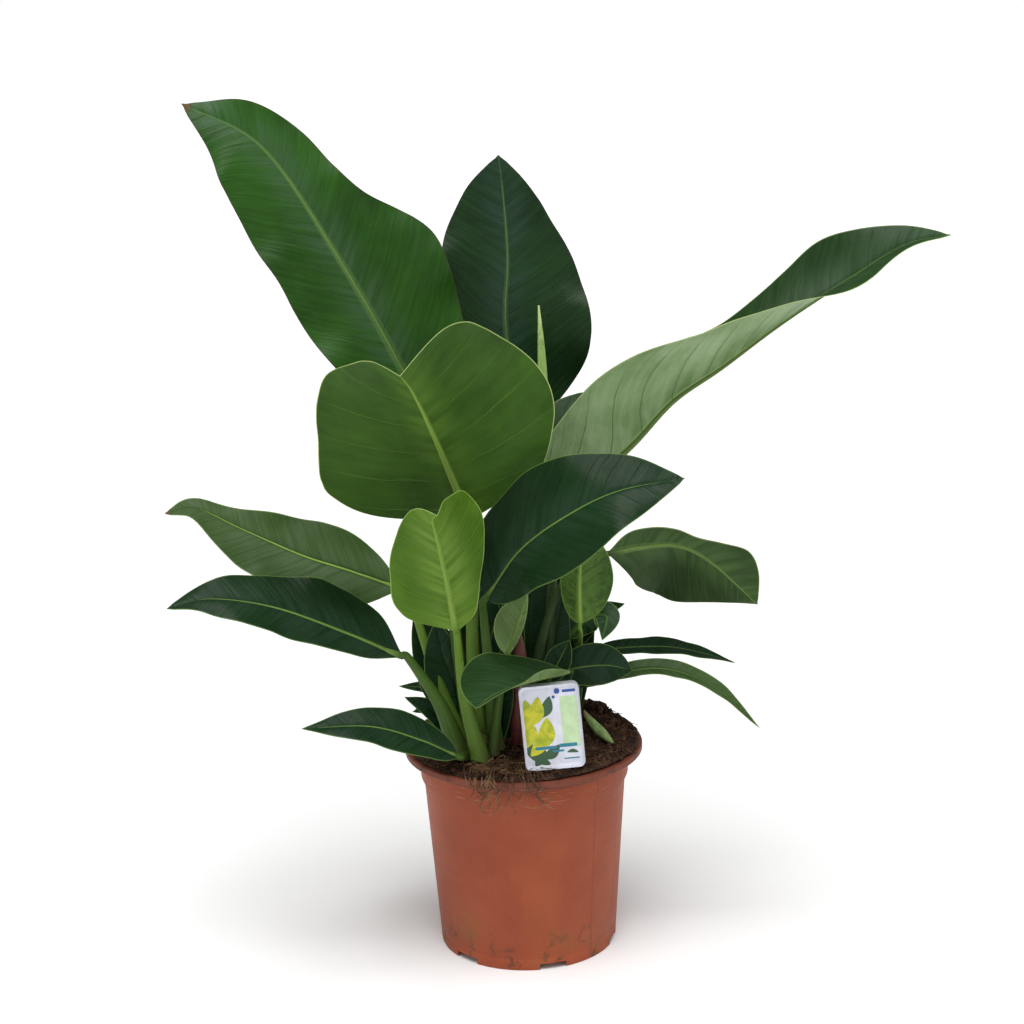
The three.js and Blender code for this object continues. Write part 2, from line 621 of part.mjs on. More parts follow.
for (const [name, leaf] of Object.entries(LEAVES)) {
  const widest = Math.max(...leaf.wide.flat());
  const large = widest > 25;
  const small = widest < 15;
  const [steps, across] = large ? [12, 3] : small ? [7, 2] : [9, 2];
  add(`blade_${name}`, blade(leaf, steps, across), leaf.finish);
  add(`stalk_${name}`, stalk(leaf), "stalk");
}

for (const [name, { finish, path, thick }] of Object.entries(SHOOTS))
  add(name, taper(path.map(lifted), thick, 9, 7), finish);

add("root_left", root(-34, 14, 4), "root");
add("root_middle", root(-20, 26, -5), "root");
add("root_right", root(-6, 18, 6), "root");

export default group;
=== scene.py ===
# A potted philodendron: a plastic grower's pot filled with peat, large pointed leaves on
# stalks that rise from four short stems, a rolled new leaf, two sheaths, roots that hang
# over the rim, and a plant label printed without words. Lengths in the tables are millimetres.
import math
import random

import bpy
import numpy as np
from mathutils import Matrix, Vector, noise


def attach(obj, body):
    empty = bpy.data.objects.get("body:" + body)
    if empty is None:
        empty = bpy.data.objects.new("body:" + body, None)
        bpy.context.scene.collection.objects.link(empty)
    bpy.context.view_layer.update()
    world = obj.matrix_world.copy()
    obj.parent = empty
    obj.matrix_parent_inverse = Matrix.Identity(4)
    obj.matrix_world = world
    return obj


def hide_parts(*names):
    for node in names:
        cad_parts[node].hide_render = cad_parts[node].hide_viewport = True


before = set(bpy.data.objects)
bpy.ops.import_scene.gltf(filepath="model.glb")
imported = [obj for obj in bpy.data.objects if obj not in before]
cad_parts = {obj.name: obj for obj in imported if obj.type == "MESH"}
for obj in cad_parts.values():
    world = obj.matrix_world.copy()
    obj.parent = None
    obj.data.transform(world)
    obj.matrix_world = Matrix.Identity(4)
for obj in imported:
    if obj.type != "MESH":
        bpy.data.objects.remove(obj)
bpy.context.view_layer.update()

MM = 0.001

# ---------------------------------------------------------------- sizes, as in the frame
GAP = 0.3
POT = {
    "rim": 95, "height": 165.5, "lip": 2.2, "lip_drop": 5, "band": 84.6, "band_height": 24.5,
    "step": 4, "foot": 71, "wall": 1.8, "floor": 6, "floor_thick": 2, "pad": 12,
    "notch_width": 22, "notch_height": 5, "notch_depth": 24, "notches": 6, "first_notch": -75,
    "drain": 5, "drain_circle": 44,
}
SOIL = {"below_rim": 2, "mound": 8, "back_mound": 14, "lump": 1.1}
LABEL = {
    "width": 46, "height": 66, "thickness": 0.8, "corner": 5, "across": 24, "inside": 7,
    "lean": 4, "turn": 4, "stake_width": 8, "stake_depth": 16, "above": 1,
}
BLADE = {"base_width": 2.2, "tip_width": 0.5}
# A stalk runs on as the rib of its blade. The noted share along it is this where it does.
RIB_BEGINS = 0.75
STEMS = {
    "front": {"at": (-36, -42), "radius": 10, "tall": 15},
    "centre": {"at": (8, -8), "radius": 7, "tall": 14},
    "right": {"at": (36, 10), "radius": 6, "tall": 12},
    "back": {"at": (-34, 0), "radius": 5, "tall": 6},
}
# The heights in the tables below are for soil at this level.
DATUM = 170
LABEL_TOP = DATUM + LABEL["height"]

# Each leaf: `mid` is its midrib from base to tip, `face` where the upper side looks, `wide`
# the half width of the left and right wing, with `belly` where a plain one is widest, `fold`
# how far each wing is lifted in degrees, and `curl` how much further it turns towards the
# margin. The stalk starts `turn` degrees round its stem and goes through `via`; `thick` is
# its radius at the foot and at the blade. Rows are at even steps from base to tip.
LEAVES = {
    "back_left": {
        "wide": [[2, 24, 38, 46, 51, 52, 50, 52, 50, 47, 41, 22, 1],
                 [2, 32, 54, 64, 71, 73, 60, 42, 35, 32, 26, 17, 1]],
        "mid": [[-63, 8, 412], [-86, 20, 464], [-132, 35, 549], [-189, 50, 636], [-250, 55, 671]],
        "face": [[0, -0.9, 0.3], [0, -0.9, 0.4], [0, -0.8, 0.6]],
        "fold": [[20, 12, 10], [20, 12, 10]], "curl": [-15, -10], "stem": "front", "turn": 115,
        "via": [[-55, -8, 300]], "thick": [4, 3],
    },
    "back_centre": {
        "wide": [[3, 38, 52, 60, 61, 60, 57, 55, 53, 48, 38, 25, 1],
                 [3, 28, 48, 62, 68, 69, 66, 58, 48, 37, 28, 16, 1]],
        "mid": [[4, 66, 400], [-5, 70, 488], [-2, 80, 542], [-4, 90, 589], [-7, 95, 623]],
        "face": [[0, -1, 0.1], [0, -1, 0.15], [0, -1, 0.2]], "fold": [[15, 12, 10], [15, 12, 10]],
        "curl": [-8, -8], "stem": "centre", "turn": 100, "via": [[4, 25, 250], [4, 52, 350]],
        "thick": [4, 3],
    },
    "front_large": {
        "wide": [[4, 60, 70, 80, 90, 94, 92, 86, 78, 70, 60, 40, 1],
                 [6, 76, 102, 105, 102, 98, 95, 91, 82, 57, 38, 24, 1]],
        "mid": [[-36, -29, 356], [-45, -45, 383], [-60, -85, 434], [-72, -125, 472],
                [-78, -165, 490]],
        "face": [[0, 0.7, 0.6], [0, 0.6, 0.8], [0, 0.2, 1]],
        "fold": [[5, 15, 30, 45, 55], [0, 5, 15, 25, 35]], "curl": [5, 5], "stem": "front",
        "turn": 72, "via": [[-38, -30, 250]], "thick": [4.2, 3.4],
    },
    "front_small": {
        "wide": [[3, 16, 21, 25, 29, 33, 37, 41, 43, 40, 33, 16, 1],
                 [3, 32, 41, 44, 44, 44, 42, 38, 33, 28, 21, 12, 1]],
        "mid": [[-49, -75, 281], [-54, -95, 325], [-59, -118, 363], [-61, -135, 381],
                [-57, -148, 387]],
        "face": [[0, 0.8, 0.5], [0, 0.6, 0.8], [0, 0.2, 1]],
        "fold": [[5, 20, 35, 50, 55], [0, 5, 15, 25, 35]], "curl": [5, 5], "stem": "front",
        "turn": 275, "via": [[-45, -66, 225]], "thick": [4, 2.6],
    },
    "right_long": {
        "wide": [[38, 72, 72, 58, 48, 43, 38, 36, 38, 39, 30, 15, 1],
                 [44, 56, 67, 72, 68, 58, 49, 42, 35, 29, 21, 11, 1]],
        "mid": [[34, 5, 361], [85, 5, 400], [122, 8, 437], [160, 12, 461], [208, 20, 493],
                [264, 28, 526], [306, 34, 549], [343, 40, 555]],
        "face": [[-0.6, 0, 0.8], [-0.6, -0.1, 0.8], [-0.4, -0.4, 0.8]],
        "fold": [[60, 45, 30, 40, 50, 45], [75, 65, 55, 35, 15, 12]], "stem": "centre", "turn": 0,
        "via": [[22, 4, 235], [26, 6, 300]], "thick": [4, 3],
    },
    "front_dark": {
        "wide": [46, 42],
        "mid": [[-25, -60, 302], [1, -80, 343], [38, -95, 373], [75, -97, 390], [123, -90, 396]],
        "face": [[-0.2, -0.75, 0.6], [-0.2, -0.75, 0.6], [0, -0.7, 0.7]],
        "fold": [[20, 12, 10], [20, 10, 10]], "curl": [-10, -15], "stem": "front", "turn": 25,
        "via": [[-26, -41, 245], [-28, -47, 280]], "thick": [4, 2.8],
    },
    "front_low": {
        "wide": [[2, 8, 13, 17, 18, 16, 13, 7, 1], [2, 14, 24, 33, 40, 42, 36, 20, 1]],
        "mid": [[36, -54, LABEL_TOP + 2], [8, -80, LABEL_TOP + 5], [-20, -106, LABEL_TOP + 4],
                [-35, -126, LABEL_TOP]],
        "face": [[-0.1, -0.5, 0.85], [-0.1, -0.5, 0.85], [-0.2, -0.3, 0.9]],
        "fold": [[70, 55, 10], [10, 5, 0]], "curl": [0, 0], "stem": "centre", "turn": 320,
        "via": [[31, -40, LABEL_TOP - 21]], "thick": [2.4, 1.2],
    },
    "left_upper": {
        "wide": [[2, 28, 36, 38, 36, 31, 22, 12, 1], [2, 20, 29, 31, 27, 20, 13, 9, 1]],
        "mid": [[-94, 0, 294], [-133, 5, 308], [-172, 10, 321], [-219, 14, 343], [-254, 16, 360],
                [-278, 16, 356]],
        "face": [[0.1, -0.75, 0.6], [0.1, -0.75, 0.6], [0.1, -0.6, 0.8]],
        "fold": [[15, 10, 10], [15, 15, 10]], "stem": "front", "turn": 150,
        "via": [[-70, -18, 235]], "thick": [3.6, 2.6],
    },
    "left_lower": {
        "wide": [[2, 12, 16, 19, 21, 21, 18, 11, 1], [2, 26, 35, 36, 32, 27, 21, 12, 1]],
        "mid": [[-93, -45.5, 253], [-130, -58, 275], [-184, -70, 301], [-231, -80, 312],
                [-263, -86, 307]],
        "face": [[0.1, -0.6, 0.75], [0.1, -0.6, 0.75], [0.1, -0.5, 0.8]],
        "fold": [[-20, -5, 10], [10, 8, 10]], "stem": "front", "turn": 190,
        "via": [[-64, -47, 212]], "thick": [6, 3],
    },
    "left_lowest": {
        "belly": 0.42, "wide": [17, 18],
        "mid": [[-52, -70, 179], [-78, -80, 196], [-116, -88, 211], [-167, -92, 212]],
        "face": [[0.1, -0.65, 0.75], [0.1, -0.65, 0.75], [0, -0.5, 0.8]],
        "fold": [[15, 10, 10], [15, 10, 10]], "stem": "front", "turn": 228,
        "via": [[-48, -61, 176]], "thick": [2.6, 2],
    },
    "right_middle": {
        "wide": [[2, 34, 53, 63, 67, 63, 51, 29, 1], [2, 12, 15, 14, 12, 18, 27, 20, 1]],
        "mid": [[71, -2, 318], [96, 2, 322], [127, 8, 320], [153, 8, 305], [188, 2, 272]],
        "face": [[0.1, 0.85, 0.4], [0.1, 0.85, 0.4], [0.3, 0.7, 0.5]], "fold": [[10], [20]],
        "curl": [0, 0], "stem": "centre", "turn": 240, "via": [[8, -17, 222], [32, -11, 294]],
        "thick": [3.5, 2.4],
    },
    "inner_mottled": {
        "belly": 0.4, "wide": [28, 15],
        "mid": [[46, -22, 268], [46, -28, 300], [48, -40, 335], [50, -48, 352]],
        "face": [[0, 0.9, 0.3], [0, 0.9, 0.4], [0, 0.8, 0.6]],
        "fold": [[10, 15, 15], [10, 15, 15]], "curl": [5, 5], "stem": "right", "turn": 300,
        "via": [[46, 3, 230], [47, -5, 254]], "thick": [2.4, 1.8],
    },
    "inner_curled": {
        "wide": [13, 13], "mid": [[38, 13, 246], [52, 12, 260], [68, 2, 266], [64, -12, 250]],
        "face": [[0, -0.8, 0.6], [0, -0.8, 0.6], [0.5, -0.6, 0.6]], "stem": "right", "turn": 245,
        "via": [[34, 3, 215]], "thick": [2.2, 1.6],
    },
    "inner_back": {
        "wide": [9, 9], "mid": [[44, 22, 235], [60, 25, 260], [84, 22, 270]],
        "face": [[0, -0.8, 0.6]], "curl": [0, 0], "stem": "right", "turn": 60,
        "via": [[42, 20, 210]], "thick": [2, 1.5],
    },
    "inner_grey": {
        "wide": [6, 17], "mid": [[-11, -50, 253], [-6, -51, 268], [0, -53, 286], [6, -56, 304]],
        "face": [[0, 0.9, 0.2]], "curl": [0, 0], "stem": "front", "turn": 335,
        "via": [[-18, -48, 215]], "thick": [2.6, 1.8],
    },
    "inner_right": {
        "belly": 0.5, "wide": [11, 11], "mid": [[21, -28, 222], [28, -31, 238], [38, -28, 256]],
        "face": [[-0.3, -0.8, 0.4]], "curl": [0, 0], "stem": "centre", "turn": 285,
        "via": [[17, -23, 200]], "thick": [2.2, 1.6],
    },
    "right_upper": {
        "wide": [11, 11],
        "mid": [[50, 32, 226], [80, 35, 229], [120, 41, 227], [150, 45, 219], [176, 52, 208]],
        "face": [[0, -0.35, 0.9]], "stem": "right", "turn": 125, "via": [[34, 26, 205]],
        "thick": [2.6, 1.8],
    },
    "right_broad": {
        "belly": 0.5, "wide": [18, 17],
        "mid": [[25, -13, 224], [46, -17, 230], [68, -14, 230], [88, -7, 223]],
        "face": [[0, -0.85, 0.5]], "curl": [0, 0], "stem": "right", "turn": 205,
        "via": [[27, -6, 205]], "thick": [2.4, 1.2],
    },
    "right_arched": {
        "belly": 0.4, "wide": [9, 9],
        "mid": [[51, 12, 205], [86, 4, 219], [119, 2, 220], [155, 0, 204], [189, -4, 171]],
        "face": [[0, -0.5, 0.85], [0, -0.5, 0.85], [0.2, -0.5, 0.7]],
        "fold": [[10, 15, 15], [10, 15, 15]], "curl": [0, 0], "stem": "right", "turn": 15,
        "thick": [2.2, 1.6],
    },
    "tip_upper": {
        "wide": [6, 6], "mid": [[-48, 9, 190], [-72, 20, 203], [-100, 28, 204]],
        "face": [[0, -0.7, 0.7]], "curl": [0, 0], "stem": "back", "turn": 80, "thick": [1.8, 1.3],
    },
    "tip_lower": {
        "wide": [7, 7], "mid": [[-50, 14, 178], [-70, 24, 186], [-90, 30, 181]],
        "face": [[0, -0.7, 0.7]], "curl": [0, 0], "stem": "back", "turn": 145,
        "thick": [1.8, 1.3],
    },
}
PLAIN_LEAF = {"belly": 0.45, "fold": [[10], [10]], "curl": [-10, -10], "via": []}
BLADE_THICK = 0.45
VEIN_BEND = 0.0038
# The swelling between the veins and the waves of the margin, as parts of the vein gap.
QUILT_DEPTH = 0.011
LONG_WAVE = 4.1
SHORT_WAVE = 2.3
# The groove that the midrib lies in.
GROOVE_DEPTH = 0.8
GROOVE_WIDTH = 1.7
STALK_GRID = (150, 14)

# Rolled shoots: `turns` is how far the wall goes round, and `roll` how much it winds outwards.
SHOOTS = {
    "new_leaf": {
        "path": [[22, 22, 400], [23, 24, 440], [22, 25, 486], [21, 26, 511]],
        "radii": [2.6, 3.4, 3.7, 3.6, 3.3, 2.9, 2.2, 1.3, 0.5],
        "grid": (90, 40), "turns": 1.45, "roll": 0.34, "flute": 0.0, "wall": 0.35, "slot": "new_leaf",
    },
    "red_sheath": {
        "path": [[-5, -26, 172], [-3, -27, 215], [-2, -28, 240], [0, -29, 262]],
        "radii": [4.6, 6.0, 6.6, 7.0, 7.2, 6.4, 4.2, 0.6],
        "grid": (60, 28), "turns": 1.2, "roll": 0.22, "flute": 0.02, "wall": 0.4, "slot": "sheath",
    },
    "pale_sheath": {
        "path": [[70, -30, 171], [62, -27, 178], [53, -22, 187], [48, -20, 195]],
        "radii": [0.9, 2.6, 3.6, 3.5, 3.1, 2.2, 0.7],
        "grid": (60, 28), "turns": 1.2, "roll": 0.22, "flute": 0.02, "wall": 0.4, "slot": "stalk",
    },
}

# How each leaf looks: the finish of its upper side and of its underside, the distance
# between its side veins, how far its margin waves, and how far the veins lean to the tip.
LOOKS = {
    "back_left": ("fresh", "pale", 21, 4.8, 0.75),
    "back_centre": ("forest", "pale", 22, 3.4, 0.6),
    "front_large": ("fresh", "olive", 30, 3.4, 0.12),
    "front_small": ("fresh", "lime", 16, 1.6, 0.45),
    "right_long": ("bottle", "silver", 34, 3.6, 0.8),
    "front_dark": ("deep", "pale", 19, 2.6, 0.8),
    "front_low": ("bottle", "sage", 11, 0.6, 0.7),
    "left_upper": ("dusty", "pale", 16, 2.6, 0.8),
    "left_lower": ("deep", "pale", 16, 2.4, 0.8),
    "left_lowest": ("deep", "pale", 11, 0.8, 0.8),
    "right_middle": ("sage_top", "moss", 17, 2.4, 0.6),
    "inner_mottled": ("bottle", "mottled", 11, 0.8, 0.6),
    "inner_curled": ("bottle", "pale", 8, 0.8, 0.7),
    "inner_back": ("deep", "pale", 7, 0.5, 0.7),
    "inner_grey": ("bottle", "sage", 9, 0.4, 0.7),
    "inner_right": ("deep", "pale", 7, 0.4, 0.7),
    "right_upper": ("deep", "pale", 9, 0.6, 0.8),
    "right_broad": ("deep", "pale", 10, 0.6, 0.7),
    "right_arched": ("dusty", "pale", 9, 0.5, 0.8),
    "tip_upper": ("deep", "pale", 6, 0.3, 0.7),
    "tip_lower": ("deep", "pale", 6, 0.3, 0.7),
}
# Stalks that sheathe their stem are stouter at the foot.
STOUT = {
    "left_lower": 1.5, "left_upper": 1.9, "front_small": 1.8, "front_large": 1.7, "back_left": 1.7,
    "front_dark": 1.7, "back_centre": 1.5, "right_long": 1.5, "front_low": 1.9, "left_lowest": 1.5,
    "inner_grey": 1.8, "right_middle": 1.5,
}
# Young dark leaves that fill the middle of the plant, between the stalks.
YOUNG_LOOK = ("deep", "pale", 10, 0.6, 0.7)
YOUNG_FOLD = [[25, 15, 10], [25, 15, 10]]
YOUNG = {
    "young_left": {
        "wide": [24, 19],
        "mid": [[-36, -22, 172], [-50, -20, 212], [-62, -16, 246], [-66, -14, 272]],
        "face": [[0.3, -0.9, 0.3]],
    },
    "young_left_back": {
        "wide": [25, 24], "mid": [[-30, 2, 172], [-36, 4, 215], [-30, 8, 262], [-24, 10, 296]],
        "face": [[0.1, -1, 0.2]],
    },
    "young_middle": {
        "wide": [15, 16], "mid": [[-12, -14, 172], [-14, -10, 222], [-8, -6, 268], [-2, -2, 300]],
        "face": [[-0.1, -1, 0.1]],
    },
    "young_centre": {
        "wide": [22, 24], "mid": [[4, 6, 172], [6, 12, 222], [10, 18, 280], [15, 22, 334]],
        "face": [[0, -1, 0.1]],
    },
    "young_right": {
        "wide": [13, 15], "mid": [[22, -8, 172], [20, -2, 212], [28, 6, 256], [36, 10, 292]],
        "face": [[0.1, -1, 0.1]],
    },
    "young_right_back": {
        "wide": [13, 12], "mid": [[40, 16, 172], [42, 22, 204], [50, 26, 236], [60, 26, 262]],
        "face": [[0, -1, 0.3]],
    },
    "young_far_left": {
        "wide": [24, 20], "mid": [[-42, -2, 172], [-57, 0, 210], [-70, 2, 248], [-82, 4, 284]],
        "face": [[0.3, -0.9, 0.3]],
    },
    "young_deep_left": {
        "wide": [24, 24], "mid": [[-16, 22, 172], [-22, 27, 230], [-24, 31, 284], [-26, 34, 330]],
        "face": [[0, -1, 0.1]],
    },
    "young_deep_right": {
        "wide": [20, 20], "mid": [[22, 26, 172], [26, 31, 224], [30, 34, 276], [30, 36, 318]],
        "face": [[0, -1, 0.1]],
    },
    "young_front": {
        "wide": [9, 10],
        "mid": [[-20, -34, 172], [-17, -32, 206], [-14, -32, 240], [-12, -30, 262]],
        "face": [[-0.2, -1, 0.1]],
    },
    "young_low": {
        "wide": [10, 9],
        "mid": [[-44, -30, 172], [-58, -32, 190], [-74, -34, 206], [-92, -36, 216]],
        "face": [[0.2, -0.8, 0.6]],
    },
}
BROWN_TIPS = {"back_left", "left_upper", "right_arched"}
DARK_MARGINS = {"back_left", "back_centre"}
LIT_STALKS = {"front_large", "front_small", "left_upper", "inner_mottled"}

POT_SIDES = 160
SEAM_TURNS = (-0.83, -0.42, 2.5)
SOIL_GRID = (240, 110)
# Heaps of peat on the right and at the back: across, back, spread and height.
HEAPS = ((62, 18, 22, 9), (30, 62, 26, 4))
CRUMBS = 900
CRUMB_SIZES = (0.9, 1.2, 1.5, 2.0, 2.8)
FIBRES = 520
# Each tangle of roots: how far across its middle is, how far it hangs and how far it leans.
TANGLES = {"root_left": (-34, 14, 4), "root_middle": (-20, 26, -5), "root_right": (2, 18, 6)}

# The label's print, from the card's middle. Leaf shapes: middle, length, breadth and turn.
FOLIAGE_PRINT = [
    ((-20, 9), 27, 11, -0.1), ((-14, 12), 26, 12, -0.42), ((-19, -5), 22, 10, -0.2),
    ((-8, -6), 28, 13, -0.35), ((-13, -14), 20, 10, -0.55),
]
SHADE_PRINT = [
    ((-5, 15), 20, 9, -0.55), ((-19, -19), 18, 9, 0.5), ((-12, -23), 17, 9, -0.4),
    ((-3, -20), 18, 8, -1.0), ((-8, -29), 9, 5, 1.3), ((14, -22), 9, 3, 1.5),
]
# Plates: middle, width, height and corner.
BAND_PRINT = [((14, 2.5), 13, 40, 1.0)]
STROKE_PRINT = [
    ((-6, -17), 17, 2.4, 0.4 * 2.4), ((11, -16), 14, 2.8, 0.4 * 2.8),
    ((3, -20), 9, 1.6, 0.4 * 1.6), ((13, -26.5), 12, 1.0, 0.4 * 1.0),
]
MARK_PRINT = [((6, 27), 4.2, 4.2, 1.6), ((3, 22.5), 2.4, 2.4, 1.0), ((15, 26.6), 10, 2.2, 0.7)]
INK_THICK = 0.05


# ---------------------------------------------------------------- smooth lines
def catmull(points, where):
    """Points on a smooth curve through the given ones, at shares of its spans."""
    p = np.asarray(points, float)
    p = np.vstack([2 * p[0] - p[1], p, 2 * p[-1] - p[-2]])
    spans = len(p) - 3
    place = np.clip(np.asarray(where, float), 0, 1) * spans
    first = np.minimum(place.astype(int), spans - 1)
    t = (place - first)[:, None]
    a, b, c, d = p[first], p[first + 1], p[first + 2], p[first + 3]
    bend = (2 * a - 5 * b + 4 * c - d) * t**2
    return 0.5 * (2 * b + (c - a) * t + bend + (3 * b - a - 3 * c + d) * t**3)


def even_line(points, count):
    """The same curve with its points the same distance apart, and its length."""
    fine = catmull(points, np.linspace(0, 1, 60 * len(points)))
    run = np.concatenate([[0], np.cumsum(np.linalg.norm(np.diff(fine, axis=0), axis=1))])
    places = np.linspace(0, run[-1], count)
    return np.stack([np.interp(places, run, fine[:, k]) for k in range(3)], axis=1), run[-1]


def unit(vectors):
    """The same directions at length one."""
    return vectors / np.maximum(np.linalg.norm(vectors, axis=-1, keepdims=True), 1e-9)


def dot(a, b):
    return np.sum(a * b, axis=-1, keepdims=True)


def smooth(values, share):
    """A smooth run of single values at shares of its length."""
    return catmull(np.asarray(values, float)[:, None], share)[:, 0]


def straight(values, share):
    """Single values joined by straight lines, at shares of their length."""
    return np.interp(share, np.linspace(0, 1, len(values)), values)


def between(table, share):
    """Rows of a table at shares of its length."""
    steps = np.linspace(0, 1, len(table))
    return np.stack([np.interp(share, steps, table[:, k]) for k in range(table.shape[1])], axis=1)


# ---------------------------------------------------------------- the pot's and soil's form
body_radius = POT["band"] - POT["step"]
band_bottom = POT["height"] - POT["band_height"]
shoulder = band_bottom - POT["step"]
soil_edge = POT["height"] - SOIL["below_rim"]


def outer_radius(z):
    """The pot's outside: a cone, a step out at the shoulder and a nearly upright band."""
    heights = [0, shoulder, band_bottom, POT["height"]]
    return float(np.interp(z, heights, [POT["foot"], body_radius, POT["band"] - 1.5, POT["band"]]))


soil_radius = outer_radius(soil_edge) - POT["wall"] - GAP


def soil_height(x, y):
    """The CAD soil's mounded and lumpy top, which the leaf stalks stand on."""
    out = np.minimum(np.hypot(x, y) / soil_radius, 1)
    back = np.maximum((x + y) / (1.4 * soil_radius), 0)
    inside = 1 - out**6
    lumps = np.sin(x / 6 + 1) * np.cos(y / 5.3) + 0.6 * np.sin(x / 3.7 - y / 4.3)
    return soil_edge + inside * (SOIL["mound"] + SOIL["back_mound"] * back + SOIL["lump"] * lumps)


def soil_under(x, y, radius):
    """The highest soil under a round foot."""
    turn = np.linspace(0, 2 * np.pi, 16, endpoint=False)
    return max(soil_height(x + k * radius * np.cos(turn), y + k * radius * np.sin(turn)).max()
               for k in (0, 0.5, 1, 1.4))


LIFT = np.array([0, 0, soil_edge + SOIL["mound"] - DATUM])


# ---------------------------------------------------------------- making pieces
MERGE = (bpy.ops.mesh.remove_doubles, {"threshold": 1e-6})
FILL = (bpy.ops.mesh.fill_holes, {"sides": 0})
OUTWARD = (bpy.ops.mesh.normals_make_consistent, {"inside": False})


def clear_selection():
    if bpy.context.object and bpy.context.object.mode != "OBJECT":
        bpy.ops.object.mode_set(mode="OBJECT")
    bpy.ops.object.select_all(action="DESELECT")


def choose(piece):
    """Selects the piece alone and makes it the active one."""
    clear_selection()
    piece.select_set(True)
    bpy.context.view_layer.objects.active = piece


def just_made(name):
    piece = bpy.context.object
    piece.name = name
    piece.data.name = name
    return piece


def edit(piece, *jobs):
    """Runs mesh operators on all of the piece in edit mode."""
    choose(piece)
    bpy.ops.object.mode_set(mode="EDIT")
    bpy.ops.mesh.select_all(action="SELECT")
    for job, settings in jobs:
        job(**settings)
        bpy.ops.mesh.select_all(action="SELECT")
    bpy.ops.object.mode_set(mode="OBJECT")


def applied(piece, kind, **settings):
    """Adds a modifier with its settings and applies it."""
    choose(piece)
    bpy.ops.object.modifier_add(type=kind)
    modifier = piece.modifiers[-1]
    for key, value in settings.items():
        setattr(modifier, key, value)
    bpy.ops.object.modifier_apply(modifier=modifier.name)


def round_off(piece, degrees):
    """Shades smooth, but for edges sharper than the angle."""
    choose(piece)
    bpy.ops.object.shade_smooth_by_angle(angle=math.radians(degrees))


def joined(name, pieces):
    """Makes the pieces one, under a new name."""
    clear_selection()
    for piece in pieces:
        piece.select_set(True)
    bpy.context.view_layer.objects.active = pieces[0]
    if len(pieces) > 1:
        bpy.ops.object.join()
    return just_made(name)


def settle(piece):
    """Moves the object's place, turn and size into its mesh."""
    choose(piece)
    bpy.ops.object.transform_apply(location=True, rotation=True, scale=True)
    return piece


def draped(name, columns, rows, shape):
    """A grid whose points are put in place by `shape`, which is given the share across and
    the share along of every point, and may give back notes to keep on the points."""
    clear_selection()
    bpy.ops.mesh.primitive_grid_add(x_subdivisions=columns, y_subdivisions=rows, size=1)
    piece = just_made(name)
    mesh = piece.data
    flat = np.empty(3 * len(mesh.vertices))
    mesh.vertices.foreach_get("co", flat)
    points, notes = shape(flat[0::3] + 0.5, flat[1::3] + 0.5)
    for note, values in notes.items():
        kept = mesh.attributes.new(note, "FLOAT_VECTOR", "POINT")
        kept.data.foreach_set("vector", np.ascontiguousarray(values, float).ravel())
    mesh.vertices.foreach_set("co", (points * MM).ravel())
    mesh.update()
    return piece


def turning_frames(line):
    """Two directions square to a line at each of its points, with no twist between them."""
    forward = unit(np.gradient(line, axis=0))
    side = np.array([1.0, 0, 0])
    sides = []
    for direction in forward:
        side = side - direction * np.dot(side, direction)
        side = side / np.linalg.norm(side)
        sides.append(side)
    sides = np.array(sides)
    return sides, np.cross(forward, sides)


def tube(name, path, radii, rings, sides, turns=1.0, roll=0.0, flare=0.0, flute=0.0, blade_at=RIB_BEGINS):
    """A round body along a smooth path. `roll` winds it up like a scroll, `flare` widens the
    foot, and `flute` presses shallow channels along it. A stalk's blade begins at `blade_at`."""
    line, length = even_line(path, rings + 1)
    side_table, up_table = turning_frames(line)

    def shape(across, along):
        angle = 2 * np.pi * turns * across
        radius = straight(radii, along) * (1 + flare * np.exp(-along * length / 9))
        radius = radius * (1 + roll * (across - 0.5))
        radius = radius * (1 + flute * np.cos(5 * angle))
        centre = between(line, along)
        out = between(side_table, along) * np.cos(angle)[:, None]
        out = out + between(up_table, along) * np.sin(angle)[:, None]
        run = np.stack([along * length * MM, across, along * RIB_BEGINS / blade_at], axis=1)
        return centre + out * radius[:, None], {"run": run}

    piece = draped(name, sides, rings, shape)
    if turns == 1.0:
        edit(piece, MERGE, FILL)
    return piece


def turned_about(angle, axis):
    """A turn in radians about one axis."""
    return Matrix.Rotation(angle, 4, axis)


def copy_of(piece):
    """A copy with its own mesh."""
    copy = piece.copy()
    copy.data = copy.data.copy()
    bpy.context.collection.objects.link(copy)
    return copy


def discard(*pieces):
    for piece in pieces:
        bpy.data.objects.remove(piece, do_unlink=True)


def place(piece, material, slot, *nodes):
    """Finishes a piece: its material, body and the CAD nodes that it stands for, which are hidden. `slot`
    is not used.
    """
    if material:
        piece.data.materials.clear()
        piece.data.materials.append(material)
    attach(piece, "root")
    if nodes:
        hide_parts(*nodes)
    return piece


# ---------------------------------------------------------------- materials
def tint(red, green, blue):
    """A colour from its everyday 0 to 255 values."""
    parts = [value / 255 for value in (red, green, blue)]
    return [p / 12.92 if p <= 0.04045 else ((p + 0.055) / 1.055) ** 2.4 for p in parts] + [1.0]


def node(tree, kind, sockets=None, **settings):
    made = tree.nodes.new(kind)
    for key, value in settings.items():
        setattr(made, key, value)
    for socket, value in (sockets or {}).items():
        if isinstance(value, bpy.types.NodeSocket):
            tree.links.new(value, made.inputs[socket])
        else:
            made.inputs[socket].default_value = value
    return made


def maths(tree, operation, first, second=0.0):
    return node(tree, "ShaderNodeMath", {0: first, 1: second}, operation=operation).outputs[0]


def times(tree, first, second):
    return maths(tree, "MULTIPLY", first, second)


def plus(tree, first, second):
    return maths(tree, "ADD", first, second)


def ease(tree, value, start, stop, low=0.0, high=1.0):
    """Goes softly from low to high while the value goes from start to stop."""
    return node(tree, "ShaderNodeMapRange", {0: value, 1: start, 2: stop, 3: low, 4: high},
                interpolation_type="SMOOTHSTEP").outputs[0]


